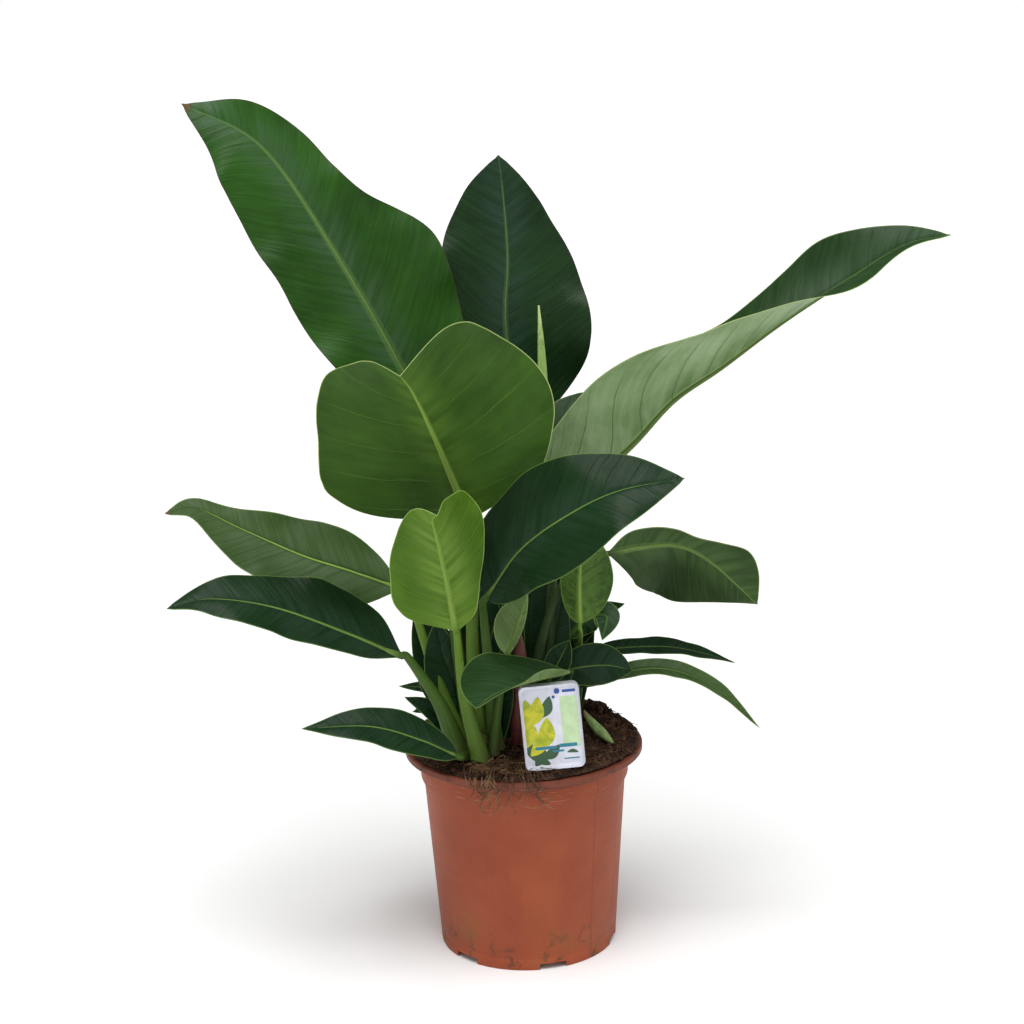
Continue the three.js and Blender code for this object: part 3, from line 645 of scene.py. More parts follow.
def stripe(tree, value, start, full, waning, stop):
    """Rises softly from start to full and falls again from waning to stop."""
    return times(tree, ease(tree, value, start, full), ease(tree, value, stop, waning))


def blended(tree, amount, under, over):
    """A mix of two colours, each a socket or three everyday values."""
    sockets = {0: amount}
    for socket, part in ((6, under), (7, over)):
        sockets[socket] = part if isinstance(part, bpy.types.NodeSocket) else tint(*part)
    return node(tree, "ShaderNodeMix", sockets, data_type="RGBA").outputs[2]


def cloud(tree, vector, scale, detail=3.0, rough=0.5, twist=0.0):
    return node(tree, "ShaderNodeTexNoise", {"Vector": vector, "Scale": scale, "Detail": detail,
                                             "Roughness": rough, "Distortion": twist}).outputs[0]


def cells(tree, vector, scale):
    return node(tree, "ShaderNodeTexVoronoi", {"Vector": vector, "Scale": scale}).outputs["Distance"]


def object_place(tree, stretch=(1, 1, 1)):
    coordinates = node(tree, "ShaderNodeTexCoord").outputs["Object"]
    return node(tree, "ShaderNodeMapping", {"Vector": coordinates, "Scale": stretch}).outputs[0]


def noted(tree, note):
    """The three values of a note kept on the points of a piece."""
    kept = node(tree, "ShaderNodeAttribute", attribute_name=note, attribute_type="GEOMETRY")
    return node(tree, "ShaderNodeSeparateXYZ", {0: kept.outputs["Vector"]}).outputs


def place_of(tree, x, y, z):
    """Three values put together as a place for a pattern."""
    return node(tree, "ShaderNodeCombineXYZ", {0: x, 1: y, 2: z}).outputs[0]


def new_finish(name):
    material = bpy.data.materials.new(name)
    material.use_nodes = True
    tree = material.node_tree
    return material, tree, tree.nodes["Principled BSDF"]


def give(tree, shader, colour, roughness, height, depth, strength, specular):
    """Links a finish to its shader; `height` is the surface relief, `depth` how deep it is."""
    tree.links.new(colour, shader.inputs["Base Color"])
    tree.links.new(roughness, shader.inputs["Roughness"])
    bump = node(tree, "ShaderNodeBump", {"Strength": strength, "Distance": depth, "Height": height})
    tree.links.new(bump.outputs[0], shader.inputs["Normal"])
    shader.inputs["Specular IOR Level"].default_value = specular


def lines_at_whole(tree, value, start, stop):
    """A mask of lines where the value passes whole numbers."""
    part = maths(tree, "FRACT", value)
    off = maths(tree, "ABSOLUTE", maths(tree, "SUBTRACT", part, 0.5))
    return ease(tree, off, start, stop)


# ---------------------------------------------------------------- leaf finishes
# `shade` and `light` are the two tones of the blade, `vein` its side veins, `rib` the line
# of the midrib, `sheen` the painted sheen beside it, `edge` the specks and the thin margin.
# `gloss` is the roughness and `shine` the specular level.
UPPER_TONES = {
    "deep": {
        "shade": (12, 31, 13), "light": (24, 51, 23), "vein": (36, 62, 33), "rib": (36, 60, 32),
        "sheen": (36, 58, 40), "edge": (84, 110, 50), "rib_width": 0.0026, "gloss": 0.26,
        "shine": 0.09,
    },
    "fresh": {
        "shade": (24, 57, 10), "light": (42, 85, 20), "vein": (50, 92, 30), "rib": (74, 108, 56),
        "sheen": (58, 88, 56), "edge": (62, 62, 38), "rib_width": 0.0058, "gloss": 0.32,
    },
    "forest": {
        "shade": (15, 36, 15), "light": (31, 62, 27), "vein": (46, 76, 44), "rib": (62, 88, 58),
        "sheen": (44, 68, 54), "edge": (52, 50, 38), "rib_width": 0.0046, "gloss": 0.3,
    },
    "bottle": {
        "shade": (24, 48, 18), "light": (40, 70, 31), "vein": (56, 86, 44), "rib": (76, 104, 52),
        "sheen": (54, 80, 52), "edge": (112, 138, 70), "rib_width": 0.0032, "gloss": 0.34,
    },
    "dusty": {
        "shade": (38, 62, 22), "light": (60, 85, 37), "vein": (76, 102, 52), "rib": (44, 66, 32),
        "sheen": (72, 94, 58), "edge": (112, 134, 74), "rib_width": 0.003, "gloss": 0.42,
    },
    "sage_top": {
        "shade": (56, 80, 46), "light": (84, 108, 70), "vein": (90, 116, 76), "rib": (108, 132, 82),
        "sheen": (92, 114, 84), "edge": (128, 150, 96), "rib_width": 0.003, "gloss": 0.42,
    },
}
UNDER_TONES = {
    "olive": {
        "shade": (38, 68, 12), "light": (60, 96, 24), "vein": (86, 120, 42), "rib": (108, 142, 56),
        "edge": (176, 196, 120),
    },
    "lime": {
        "shade": (60, 95, 16), "light": (86, 122, 31), "vein": (116, 148, 58),
        "rib": (130, 164, 70), "edge": (144, 172, 88),
    },
    "silver": {
        "shade": (94, 122, 70), "light": (142, 164, 122), "vein": (82, 110, 62),
        "rib": (124, 150, 92), "edge": (168, 186, 124),
    },
    "moss": {
        "shade": (32, 52, 22), "light": (56, 80, 40), "vein": (74, 100, 54), "rib": (84, 110, 58),
        "edge": (124, 146, 86),
    },
    "sage": {
        "shade": (70, 94, 50), "light": (98, 122, 72), "vein": (108, 132, 80),
        "rib": (116, 142, 80), "edge": (140, 160, 95),
    },
    "mottled": {
        "shade": (38, 68, 20), "light": (96, 132, 46), "vein": (84, 112, 46), "rib": (120, 148, 70),
        "edge": (116, 144, 68),
    },
    "pale": {
        "shade": (64, 92, 46), "light": (90, 118, 66), "vein": (108, 134, 80),
        "rib": (118, 144, 80), "edge": (130, 152, 88),
    },
}
PLAIN_TONES = {"rib_width": 0.0034, "gloss": 0.5, "shine": 0.14}


def leaf_finish(name, tones, under, brown_tip=False):
    """One side of a blade: patches, streaks and side veins, the midrib's line, sparse specks
    and a thin margin. The notes on the points say where the veins and the midrib lie."""
    tones = {"sheen": tones["vein"], **PLAIN_TONES, **tones}
    material, tree, shader = new_finish(name)
    here = object_place(tree)
    phase, across, to_edge = noted(tree, "blade_place")
    share, reach, side = noted(tree, "blade_share")
    drift = cloud(tree, here, 18, 3)
    phase = plus(tree, phase, times(tree, drift, 0.4))
    from_rib = maths(tree, "ABSOLUTE", across)
    # streaks that run with the side veins, coarse and fine
    lie = place_of(tree, times(tree, phase, 5.0), times(tree, from_rib, 26.0), side)
    streaks = cloud(tree, lie, 1.0, 5, 0.62, 0.3)
    lie_fine = place_of(tree, times(tree, phase, 26.0), times(tree, from_rib, 40.0), side)
    hairs = cloud(tree, lie_fine, 1.0, 3, 0.6)
    veins = lines_at_whole(tree, phase, 0.476, 0.497)
    between_veins = lines_at_whole(tree, times(tree, phase, 4.0), 0.44, 0.5)
    fading = ease(tree, maths(tree, "ABSOLUTE", reach), 0.6, 0.98, 1.0, 0.15)
    veins = times(tree, veins, fading)
    tapering = maths(tree, "SUBTRACT", 1.12, share)
    rib = maths(tree, "DIVIDE", from_rib, tapering)
    rib = ease(tree, rib, tones["rib_width"], 0.42 * tones["rib_width"])
    halo = ease(tree, from_rib, 0.028, 0.002)
    margin = ease(tree, to_edge, 0.0009, 0.0004)
    patches = ease(tree, cloud(tree, here, 14, 4, 0.6, 0.4), 0.3, 0.7)
    # an underside is plainer than an upper side, and its side veins stand out more
    streaked, haired, ribbed, veined = (0.28, 0.12, 0.05, 0.8) if under else (0.45, 0.26, 0.1, 0.4)
    tone = times(tree, ease(tree, streaks, 0.3, 0.7), streaked)
    tone = plus(tree, times(tree, patches, 1 - streaked), tone)
    colour = blended(tree, tone, tones["shade"], tones["light"])
    for mask in (ease(tree, hairs, 0.52, 0.75, 0.0, haired), times(tree, between_veins, ribbed),
                 times(tree, veins, veined)):
        colour = blended(tree, mask, colour, tones["vein"])
    if name == "leaf_mottled_under":
        blotches = ease(tree, cloud(tree, here, 110, 4, 0.62, 1.6), 0.45, 0.55)
        colour = blended(tree, times(tree, blotches, 0.85), colour, tones["shade"])
    # a painted sheen in a strip beside the midrib; an underside takes its vein colour there
    dull = times(tree, halo, ease(tree, cloud(tree, lie, 0.6, 3, 0.5), 0.35, 0.65, 0.2, 0.75))
    colour = blended(tree, dull, colour, tones["sheen"])
    colour = blended(tree, times(tree, rib, 0.85), colour, tones["rib"])
    specks = ease(tree, cells(tree, here, 260), 0.09, 0.04)
    rare = ease(tree, cloud(tree, here, 45, 2), 0.60, 0.68)
    specks = times(tree, specks, rare)
    colour = blended(tree, times(tree, specks, 0.35), colour, tones["edge"])
    colour = blended(tree, times(tree, margin, 0.85), colour, tones["edge"])
    if brown_tip:
        end = plus(tree, share, times(tree, cloud(tree, here, 120, 3), 0.03))
        colour = blended(tree, ease(tree, end, 0.985, 1.005), colour, (92, 66, 38))
    grain = cloud(tree, here, 900, 2, 0.6)
    roughness = ease(tree, cloud(tree, here, 60, 3), 0.3, 0.7, tones["gloss"] - 0.06, tones["gloss"] + 0.1)
    relief = times(tree, veins, 0.8 if under else -0.7)
    relief = plus(tree, relief, times(tree, streaks, 0.9))
    relief = plus(tree, relief, times(tree, grain, 0.12))
    give(tree, shader, colour, roughness, relief, 0.0007, 0.8, tones["shine"])
    return material


def margin_finish(name, colour):
    """The cut edge of a blade, faintly spotted."""
    material, tree, shader = new_finish(name)
    here = object_place(tree)
    spotted = cloud(tree, here, 300, 2)
    base = blended(tree, spotted, [0.75 * v for v in colour], colour)
    give(tree, shader, base, ease(tree, spotted, 0.2, 0.8, 0.45, 0.6), spotted, 0.0002, 0.4, 0.3)
    return material


def stalk_finish(name, foot, top, rib):
    """Green and streaked lengthwise, darker towards the foot with brown scars there, paler where it runs on
    as a rib.
    """
    material, tree, shader = new_finish(name)
    here = object_place(tree)
    run, around, share = noted(tree, "run")
    angle = times(tree, around, 2 * math.pi)
    sine, cosine = maths(tree, "SINE", angle), maths(tree, "COSINE", angle)
    streaks = cloud(tree, place_of(tree, times(tree, run, 6.0), sine, cosine), 7, 4, 0.65)
    colour = blended(tree, ease(tree, share, 0.1, RIB_BEGINS), foot, top)
    colour = blended(tree, ease(tree, share, RIB_BEGINS - 0.02, RIB_BEGINS + 0.05), colour, rib)
    darker = blended(tree, ease(tree, streaks, 0.35, 0.7, 0.0, 0.55), colour, [0.66 * v for v in top])
    scars = ease(tree, run, 0.020, 0.004, 0.0, 0.6)
    scarred = times(tree, scars, ease(tree, cloud(tree, here, 180, 3), 0.4, 0.6))
    colour = blended(tree, scarred, darker, (88, 76, 50))
    flecks = ease(tree, cells(tree, here, 420), 0.12, 0.05, 0.0, 0.3)
    colour = blended(tree, flecks, colour, [min(1.25 * v, 255) for v in rib])
    give(tree, shader, colour, ease(tree, streaks, 0.3, 0.7, 0.37, 0.54), streaks, 0.0004, 0.6, 0.18)
    return material


def stem_finish():
    """Short ringed stems: green turning brown, with pale rings where old stalks sat."""
    material, tree, shader = new_finish("stem_rings")
    here = object_place(tree)
    height = node(tree, "ShaderNodeSeparateXYZ", {0: here}).outputs[2]
    wobble = times(tree, cloud(tree, here, 60, 3), 0.006)
    rings = lines_at_whole(tree, times(tree, plus(tree, height, wobble), 260.0), 0.3, 0.5)
    mottle = cloud(tree, here, 150, 4, 0.6)
    colour = blended(tree, ease(tree, mottle, 0.35, 0.65), (70, 78, 40), (96, 104, 58))
    colour = blended(tree, times(tree, rings, 0.6), colour, (112, 92, 62))
    give(tree, shader, colour, ease(tree, mottle, 0.2, 0.8, 0.6, 0.8), rings, 0.0006, 0.7, 0.3)
    return material


def sheath_finish(name, dark, light, tip):
    """Rolled leaves and dry bracts: striped upright, mottled, and another colour at the tip."""
    material, tree, shader = new_finish(name)
    here = object_place(tree)
    _, _, share = noted(tree, "run")
    stripes = cloud(tree, object_place(tree, (260, 260, 18)), 1.0, 3, 0.6)
    colour = blended(tree, ease(tree, stripes, 0.35, 0.65), dark, light)
    colour = blended(tree, ease(tree, share, 0.6, 1.0), colour, tip)
    mottle = ease(tree, cloud(tree, here, 120, 4), 0.55, 0.7, 0.0, 0.4)
    colour = blended(tree, mottle, colour, [0.6 * v for v in dark])
    give(tree, shader, colour, ease(tree, stripes, 0.3, 0.7, 0.42, 0.56), stripes, 0.0004, 0.6, 0.4)
    return material


def pot_finish():
    """Moulded terracotta-coloured plastic: fine scuffs that run round it, mould seams,
    scratches on the band, and dried peat and a green bloom near the foot."""
    material, tree, shader = new_finish("pot_plastic")
    here = object_place(tree)
    x, y, z = node(tree, "ShaderNodeSeparateXYZ", {0: here}).outputs
    haze = cloud(tree, here, 11, 4, 0.6, 0.3)
    fine = cloud(tree, here, 900, 3, 0.6)
    turned = cloud(tree, object_place(tree, (14, 14, 420)), 1.0, 4, 0.7)
    upright = cloud(tree, object_place(tree, (130, 130, 3)), 1.0, 3, 0.6)
    colour = blended(tree, ease(tree, haze, 0.3, 0.7), (137, 62, 35), (155, 76, 45))
    colour = blended(tree, ease(tree, upright, 0.45, 0.75, 0.0, 0.28), colour, (138, 68, 46))
    colour = blended(tree, ease(tree, turned, 0.62, 0.74, 0.0, 0.12), colour, (176, 104, 72))
    # the lip and the band's top darker, partly dirt and partly painted shade, and a darker stripe of
    # painted shade where the band begins
    upper = ease(tree, z, 0.1535, 0.1560)
    colour = blended(tree, times(tree, upper, 0.75), colour, (98, 54, 43))
    # painted shade on the step under the band, which juts out over it
    band_step_shade = stripe(tree, z, 0.1330, 0.1372, 0.1404, 0.1424)
    colour = blended(tree, times(tree, band_step_shade, 0.15), colour, (112, 56, 38))
    # scratches under the rim
    scratches = cloud(tree, object_place(tree, (40, 40, 900)), 1.0, 2, 0.5, 0.6)
    on_band = stripe(tree, z, 0.138, 0.146, 0.157, 0.162)
    scratched = times(tree, ease(tree, scratches, 0.64, 0.70), on_band)
    colour = blended(tree, times(tree, scratched, 0.6), colour, (196, 136, 104))
    # mould seams
    angle = maths(tree, "ARCTAN2", y, x)
    seams = None
    for turn in SEAM_TURNS:
        off = maths(tree, "ABSOLUTE", maths(tree, "SUBTRACT", angle, turn))
        seam = ease(tree, off, 0.014, 0.004)
        seams = seam if seams is None else maths(tree, "MAXIMUM", seams, seam)
    colour = blended(tree, times(tree, seams, 0.4), colour, (122, 62, 42))
    # dirt and a green bloom near the foot, and spilled peat at the lip
    low = ease(tree, z, 0.05, 0.004)
    clods = ease(tree, cloud(tree, here, 75, 5, 0.7, 0.5), 0.53, 0.64)
    dirt = times(tree, low, clods)
    colour = blended(tree, times(tree, dirt, 0.75), colour, (72, 56, 34))
    bloom = times(tree, ease(tree, z, 0.07, 0.01), ease(tree, cloud(tree, here, 30, 3), 0.5, 0.7))
    colour = blended(tree, times(tree, bloom, 0.28), colour, (98, 92, 44))
    spill = times(tree, ease(tree, z, 0.150, 0.166), ease(tree, cloud(tree, here, 120, 4), 0.52, 0.62))
    colour = blended(tree, times(tree, spill, 0.6), colour, (58, 42, 30))
    roughness = ease(tree, turned, 0.3, 0.7, 0.50, 0.58)
    relief = plus(tree, times(tree, fine, 0.25), times(tree, seams, 1.2))
    relief = plus(tree, relief, times(tree, upright, 0.5))
    relief = plus(tree, relief, dirt)
    give(tree, shader, colour, roughness, relief, 0.0005, 0.6, 0.25)
    return material


def peat_finish(name, dark, light, fibre):
    """Peat in two browns, with paler threads and a crumbly surface."""
    material, tree, shader = new_finish(name)
    here = object_place(tree)
    clumps = cloud(tree, here, 90, 6, 0.7, 0.6)
    crumbs = cells(tree, here, 420)
    threads = cloud(tree, here, 240, 3, 0.6, 3.0)
    colour = blended(tree, ease(tree, clumps, 0.35, 0.68), dark, light)
    colour = blended(tree, ease(tree, threads, 0.58, 0.66, 0.0, 0.5), colour, fibre)
    relief = plus(tree, clumps, times(tree, crumbs, 0.6))
    give(tree, shader, colour, ease(tree, clumps, 0.3, 0.7, 0.85, 0.98), relief, 0.0022, 1.0, 0.15)
    return material


def root_finish():
    """Dry roots, dull and uneven in colour."""
    material, tree, shader = new_finish("root_fibre")
    here = object_place(tree)
    tone = cloud(tree, here, 80, 4, 0.6)
    colour = blended(tree, ease(tree, tone, 0.35, 0.65), (80, 57, 40), (140, 108, 78))
    grain = cloud(tree, here, 1400, 2)
    give(tree, shader, colour, ease(tree, tone, 0.3, 0.7, 0.75, 0.9), grain, 0.0003, 0.6, 0.25)
    return material


def card_finish(name, colour):
    """Coated card or ink on it: a faint mottle and a fine surface."""
    material, tree, shader = new_finish(name)
    here = object_place(tree)
    mottle = cloud(tree, here, 130, 3)
    base = blended(tree, ease(tree, mottle, 0.3, 0.7), [0.94 * v for v in colour], colour)
    grain = cloud(tree, here, 1500, 2)
    give(tree, shader, base, ease(tree, mottle, 0.3, 0.7, 0.38, 0.46), grain, 0.0001, 0.4, 0.4)
    return material


def foliage_print_finish():
    """Printed foliage: a darker and a lighter yellow-green that run into each other."""
    material, tree, shader = new_finish("label_print_foliage")
    here = object_place(tree)
    strokes = cloud(tree, here, 95, 4, 0.6, 0.8)
    colour = blended(tree, ease(tree, strokes, 0.32, 0.68), (150, 166, 26), (212, 206, 48))
    give(tree, shader, colour, ease(tree, strokes, 0.3, 0.7, 0.38, 0.46), strokes, 0.0001, 0.3, 0.4)
    return material


# ---------------------------------------------------------------- leaves and their stalks
def wing_width(wide, belly, share):
    """Half width of one wing: a row of widths, or one width that swells to its belly."""
    least = BLADE["base_width"] + (BLADE["tip_width"] - BLADE["base_width"]) * share
    if isinstance(wide, list):
        return np.maximum(smooth(wide, share), least)
    warped = np.minimum(share ** (math.log(0.5) / math.log(belly)), 1)
    power = 0.62 + (0.9 - 0.62) * share
    return np.maximum(wide * np.maximum(np.sin(np.pi * warped), 0) ** power, least)


def midrib_tables(leaf):
    """Points along the midrib, where the blade faces and lies sideways there, and its length."""
    line, length = even_line(np.array(leaf["mid"], float) + LIFT, 241)
    forward = unit(np.gradient(line, axis=0))
    shares = np.linspace(0, 1, len(line))
    face = np.array(leaf["face"], float)
    normal = np.stack([straight(face[:, k], shares) for k in range(3)], axis=1)
    normal = unit(normal - forward * dot(normal, forward))
    return line, normal, np.cross(forward, normal), length


def blade(name, leaf):
    """A blade bent along its midrib, folded and curled across it, and ruffled at the margin."""
    leaf = {**PLAIN_LEAF, **leaf}
    upper, under, vein_gap, wave, slant = LOOKS.get(name, YOUNG_LOOK)
    line, normal, right, length = midrib_tables(leaf)
    widest = max(np.max(wing) for wing in leaf["wide"])
    rows, columns = (120, 56) if widest > 45 else (84, 36) if widest > 20 else (56, 24)

    def of_wing(side, pair):
        return np.where(side < 0, pair[0], pair[1])

    def shape(across, along):
        side = np.where(across >= 0.5, 1.0, -1.0)
        reach = (np.abs(across - 0.5) * 2) ** 1.35
        width = of_wing(side, [wing_width(wing, leaf["belly"], along) for wing in leaf["wide"]])
        width = width * np.clip((1 - along) / 0.02, 0.05, 1) ** 0.5
        fold = np.radians(of_wing(side, [straight(wing, along) for wing in leaf["fold"]]))
        curl = np.radians(of_wing(side, leaf["curl"])) + 1e-6
        out = (np.sin(fold + curl * reach) - np.sin(fold)) / curl * width
        up = (np.cos(fold) - np.cos(fold + curl * reach)) / curl * width
        turned = fold + curl * reach
        centre, facing, sideways = between(line, along), between(normal, along), between(right, along)
        points = centre + sideways * (side * out)[:, None] + facing * up[:, None]
        lifted = facing * np.cos(turned)[:, None] - sideways * (side * np.sin(turned))[:, None]
        run = along * length
        from_rib = width * reach
        # the veins leave the rib at a slant, bend on towards the tip, and alternate
        phase = (run - slant * from_rib - VEIN_BEND * slant * from_rib**2) / vein_gap + 0.4 * (side > 0)
        # side veins lie in shallow channels and the blade swells a little between them
        swell = (0.5 + 0.5 * np.cos(2 * np.pi * phase)) ** 2
        quilt = -QUILT_DEPTH * vein_gap * swell * np.sin(np.pi * np.minimum(reach, 1)) ** 0.7
        groove = -GROOVE_DEPTH * np.exp(-((from_rib / GROOVE_WIDTH) ** 2)) * (1 - along) ** 0.5
        # the margin waves in two lengths, not at the base and the tip
        envelope = np.sin(np.pi * np.clip(along, 0, 1)) ** 0.6
        ruffle = wave * reach**2.0 * envelope * (
            np.sin(2 * np.pi * run / (LONG_WAVE * vein_gap) + 1.9 * side + widest)
            + 0.3 * np.sin(2 * np.pi * run / (SHORT_WAVE * vein_gap) - side + 3 * along))
        points = points + lifted * (quilt + groove + ruffle)[:, None]
        notes = {
            "blade_place": np.stack([phase, side * from_rib * MM, width * (1 - reach) * MM], axis=1),
            "blade_share": np.stack([along, side * reach, side], axis=1),
        }
        return points, notes

    piece = draped("blade_" + name, columns, rows, shape)
    margin = "margin_bright" if under in ("olive", "lime", "silver") else "margin_green"
    if name in DARK_MARGINS:
        margin = "margin_dark"
    tipped = "_tipped" if name in BROWN_TIPS else ""
    for finish in (f"leaf_{upper}{tipped}", f"leaf_{under}_under", margin):
        piece.data.materials.append(FINISHES[finish])
    applied(piece, "SOLIDIFY", thickness=BLADE_THICK * MM, offset=0.0, material_offset=1,
            material_offset_rim=2)
    round_off(piece, 55)
    return piece


def stalk(name, leaf):
    """The stalk, which runs on as the rib under the blade and ends near the blade's tip."""
    spec = STEMS[leaf["stem"]]
    foot_radius, top_radius = leaf["thick"]
    reach = spec["radius"] + foot_radius + 2 * GAP
    turn = math.radians(leaf["turn"])
    x = spec["at"][0] + reach * math.cos(turn)
    y = spec["at"][1] + reach * math.sin(turn)
    foot = soil_under(x, y, foot_radius) + 3 * GAP
    mid = np.array(leaf["mid"], float) + LIFT
    onward = unit(mid[1] - mid[0])
    end = mid[0] - 4 * GAP * onward
    before = end - 2 * top_radius * onward
    upright = min(5, 0.3 * (end[2] - foot))
    via = [np.array(point, float) + LIFT for point in leaf.get("via", [])]
    path = [np.array([x, y, foot]), np.array([x, y, foot + upright]), *via, before, end]
    line, _ = even_line(path, 40)
    rib_line, normal, _, _ = midrib_tables(leaf)
    # the rib thins towards the tip and sinks into the blade's underside
    shares = np.linspace(0.012, 0.985, 34)
    rib_radius = 0.3 + (0.92 * top_radius - 0.3) * (1 - shares) ** 1.15
    sink = rib_radius * np.minimum(shares / 0.07, 1) * 1.02
    rib = between(rib_line, shares) - between(normal, shares) * sink[:, None]
    whole = np.vstack([line, rib])
    petiole = np.linspace(foot_radius, top_radius, len(line))
    petiole = petiole * (1 + (STOUT.get(name, 1.2) - 1) * (1 - np.linspace(0, 1, len(line))) ** 1.3)
    radii = np.concatenate([petiole, rib_radius])
    run = np.concatenate([[0], np.cumsum(np.linalg.norm(np.diff(whole, axis=0), axis=1))])
    steps = np.linspace(0, run[-1], 110)
    path = np.stack([np.interp(steps, run, whole[:, k]) for k in range(3)], axis=1)
    thick = np.interp(steps, run, radii)
    blade_at = run[len(line)] / run[-1]
    piece = tube("stalk_" + name, path, thick, *STALK_GRID, flare=0.22, flute=0.025, blade_at=blade_at)
    round_off(piece, 60)
    return piece


def make_leaves():
    """Every leaf in its finishes, on its stalk, and then the young ones, which have none."""
    for name, leaf in LEAVES.items():
        upper, under = LOOKS[name][:2]
        slot = "leaf_mid" if upper in ("fresh", "dusty") else "leaf_dark"
        if under in ("olive", "lime", "silver", "mottled", "moss"):
            slot = "leaf_bright"
        place(blade(name, leaf), None, slot, "blade_" + name)
        finish = "stalk_bright" if leaf["stem"] == "front" else "stalk_dark"
        if name in LIT_STALKS:
            finish = "stalk_lit"
        place(stalk(name, leaf), FINISHES[finish], "stalk", "stalk_" + name)
    for name, leaf in YOUNG.items():
        place(blade(name, {"fold": YOUNG_FOLD, **leaf}), None, "leaf_dark")


# ---------------------------------------------------------------- stems, sheaths, new leaf
def make_stems():
    """Short lumpy stems, ringed where old stalks sat."""
    for name, spec in STEMS.items():
        x, y = spec["at"]
        base = float(soil_under(x, y, spec["radius"])) + 2 * GAP
        radius, tall = spec["radius"], spec["tall"]
        profile = np.array([
            [1.0, -4], [1.02, 0], [1.0, 0.3 * tall], [0.97, 0.5 * tall], [0.88, 0.7 * tall],
            [0.6, 0.9 * tall], [0.3, tall], [0.02, tall],
        ])

        def shape(across, along):
            turn = 2 * np.pi * across
            ring = between(profile, along)
            lumps = 1 + 0.035 * np.sin(3 * turn + x) + 0.02 * np.sin(26 * np.pi * along + np.sin(turn))
            r = radius * ring[:, 0] * lumps
            z = base + ring[:, 1] + 0.5 * np.sin(2 * turn + y)
            run = np.stack([ring[:, 1] * MM, across, along], axis=1)
            return np.stack([x + r * np.cos(turn), y + r * np.sin(turn), z], axis=1), {"run": run}

        piece = draped("stem_" + name, 36, 40, shape)
        edit(piece, MERGE, FILL)
        round_off(piece, 60)
        place(piece, FINISHES["stem"], "stem", "stem_" + name)


def make_shoots():
    """The new leaf and the two sheaths, each rolled like a scroll."""
    for name, spec in SHOOTS.items():
        path = np.array(spec["path"], float) + LIFT
        rings, sides = spec["grid"]
        piece = tube(name, path, spec["radii"], rings, sides, turns=spec["turns"], roll=spec["roll"],
                     flute=spec["flute"])
        applied(piece, "SOLIDIFY", thickness=spec["wall"] * MM, offset=0.0)
        round_off(piece, 55)
        place(piece, FINISHES[name], spec["slot"], name)


# ---------------------------------------------------------------- the pot
def lathed(name, profile, segments):
    """Starts as a circle and is extruded ring by ring through the profile of (radius, z)."""
    clear_selection()
    radius, z = profile[0]
    bpy.ops.mesh.primitive_circle_add(vertices=segments, radius=radius * MM, location=(0, 0, z * MM))
    piece = settle(just_made(name))
    choose(piece)
    bpy.ops.object.mode_set(mode="EDIT")
    bpy.ops.mesh.select_all(action="SELECT")
    for next_radius, next_z in profile[1:]:
        bpy.ops.mesh.extrude_edges_indiv()
        grow = next_radius / radius
        bpy.ops.transform.resize(value=(grow, grow, 1), center_override=(0, 0, z * MM))
        bpy.ops.transform.translate(value=(0, 0, (next_z - z) * MM))
        radius, z = next_radius, next_z
    bpy.ops.object.mode_set(mode="OBJECT")
    return piece


def skin(z, out=0.0, up=0.0):
    """A profile point on the pot's outside, or a little off it."""
    return outer_radius(z) + out, z + up


def bore(z, out=0.0, up=0.0):
    """A profile point on the pot's inside, or a little off it."""
    return outer_radius(z) - POT["wall"] + out, z + up


def pot_profile():
    """The pot's section: from the pad under the floor, up the outside, over the lip and back
    down the inside to the floor."""
    top, rim, pad = POT["height"], POT["rim"], POT["pad"]
    lip_inside = rim - POT["wall"]
    under_lip = top - POT["lip"]
    drop = top - POT["lip_drop"]
    floor_top = POT["floor"] + POT["floor_thick"]
    return [
        (0.6, 0), (pad - 0.6, 0), (pad, 0.5), (pad, POT["floor"]),
        bore(POT["floor"]), bore(0, 0.2, 0.3), bore(0, 0.6),
        (POT["foot"] - 0.7, 0), (POT["foot"] - 0.15, 0.25), skin(1), skin(9),
        skin(9.6, -0.25), skin(10.4, -0.25), skin(11), skin(shoulder - 1),
        skin(shoulder, 0.3), skin(shoulder, 1.2, 1.1), skin(band_bottom, -1.0, -1.0),
        skin(band_bottom, -0.15, -0.2), skin(band_bottom, 0.1, 0.9), skin(band_bottom + 9),
        skin(under_lip, -0.1, -1.2), skin(under_lip, 0.8, -0.1),
        (lip_inside - 0.6, under_lip), (lip_inside, under_lip - 0.5),
        (lip_inside + 0.1, drop + 0.2), (lip_inside + 0.5, drop), (rim - 0.4, drop), (rim, drop + 0.5),
        (rim, top - 1.3), (rim - 0.35, top - 0.4), (rim - 1.2, top),
        bore(top, 1.0), bore(top, 0.2, -0.3), bore(top, 0, -1.2), bore(band_bottom), bore(shoulder),
        bore(floor_top, -0.2, 0.6), bore(floor_top, -1.2), (pad, floor_top), (0.6, floor_top),
    ]


def foot_cutters():
    """The notches in the foot and the drain holes in the floor, at the same turns."""
    cutters = []
    for n in range(POT["notches"]):
        turn = math.radians(POT["first_notch"] + 360 * n / POT["notches"])
        outward = Vector((math.cos(turn), math.sin(turn), 0))
        size = (POT["notch_depth"] * MM, POT["notch_width"] * MM, 2 * POT["notch_height"] * MM)
        clear_selection()
        bpy.ops.mesh.primitive_cube_add(size=1, location=outward * POT["foot"] * MM,
                                        rotation=(0, 0, turn), scale=size)
        notch = settle(just_made("notch"))
        edit(notch, (bpy.ops.mesh.bevel, {"offset": 1.1 * MM, "segments": 3, "affect": "EDGES"}))
        clear_selection()
        bpy.ops.mesh.primitive_cylinder_add(vertices=36, radius=POT["drain"] * MM, depth=30 * MM,
                                            location=outward * POT["drain_circle"] * MM)
        cutters += [notch, settle(just_made("drain"))]
    return joined("cutters", cutters)


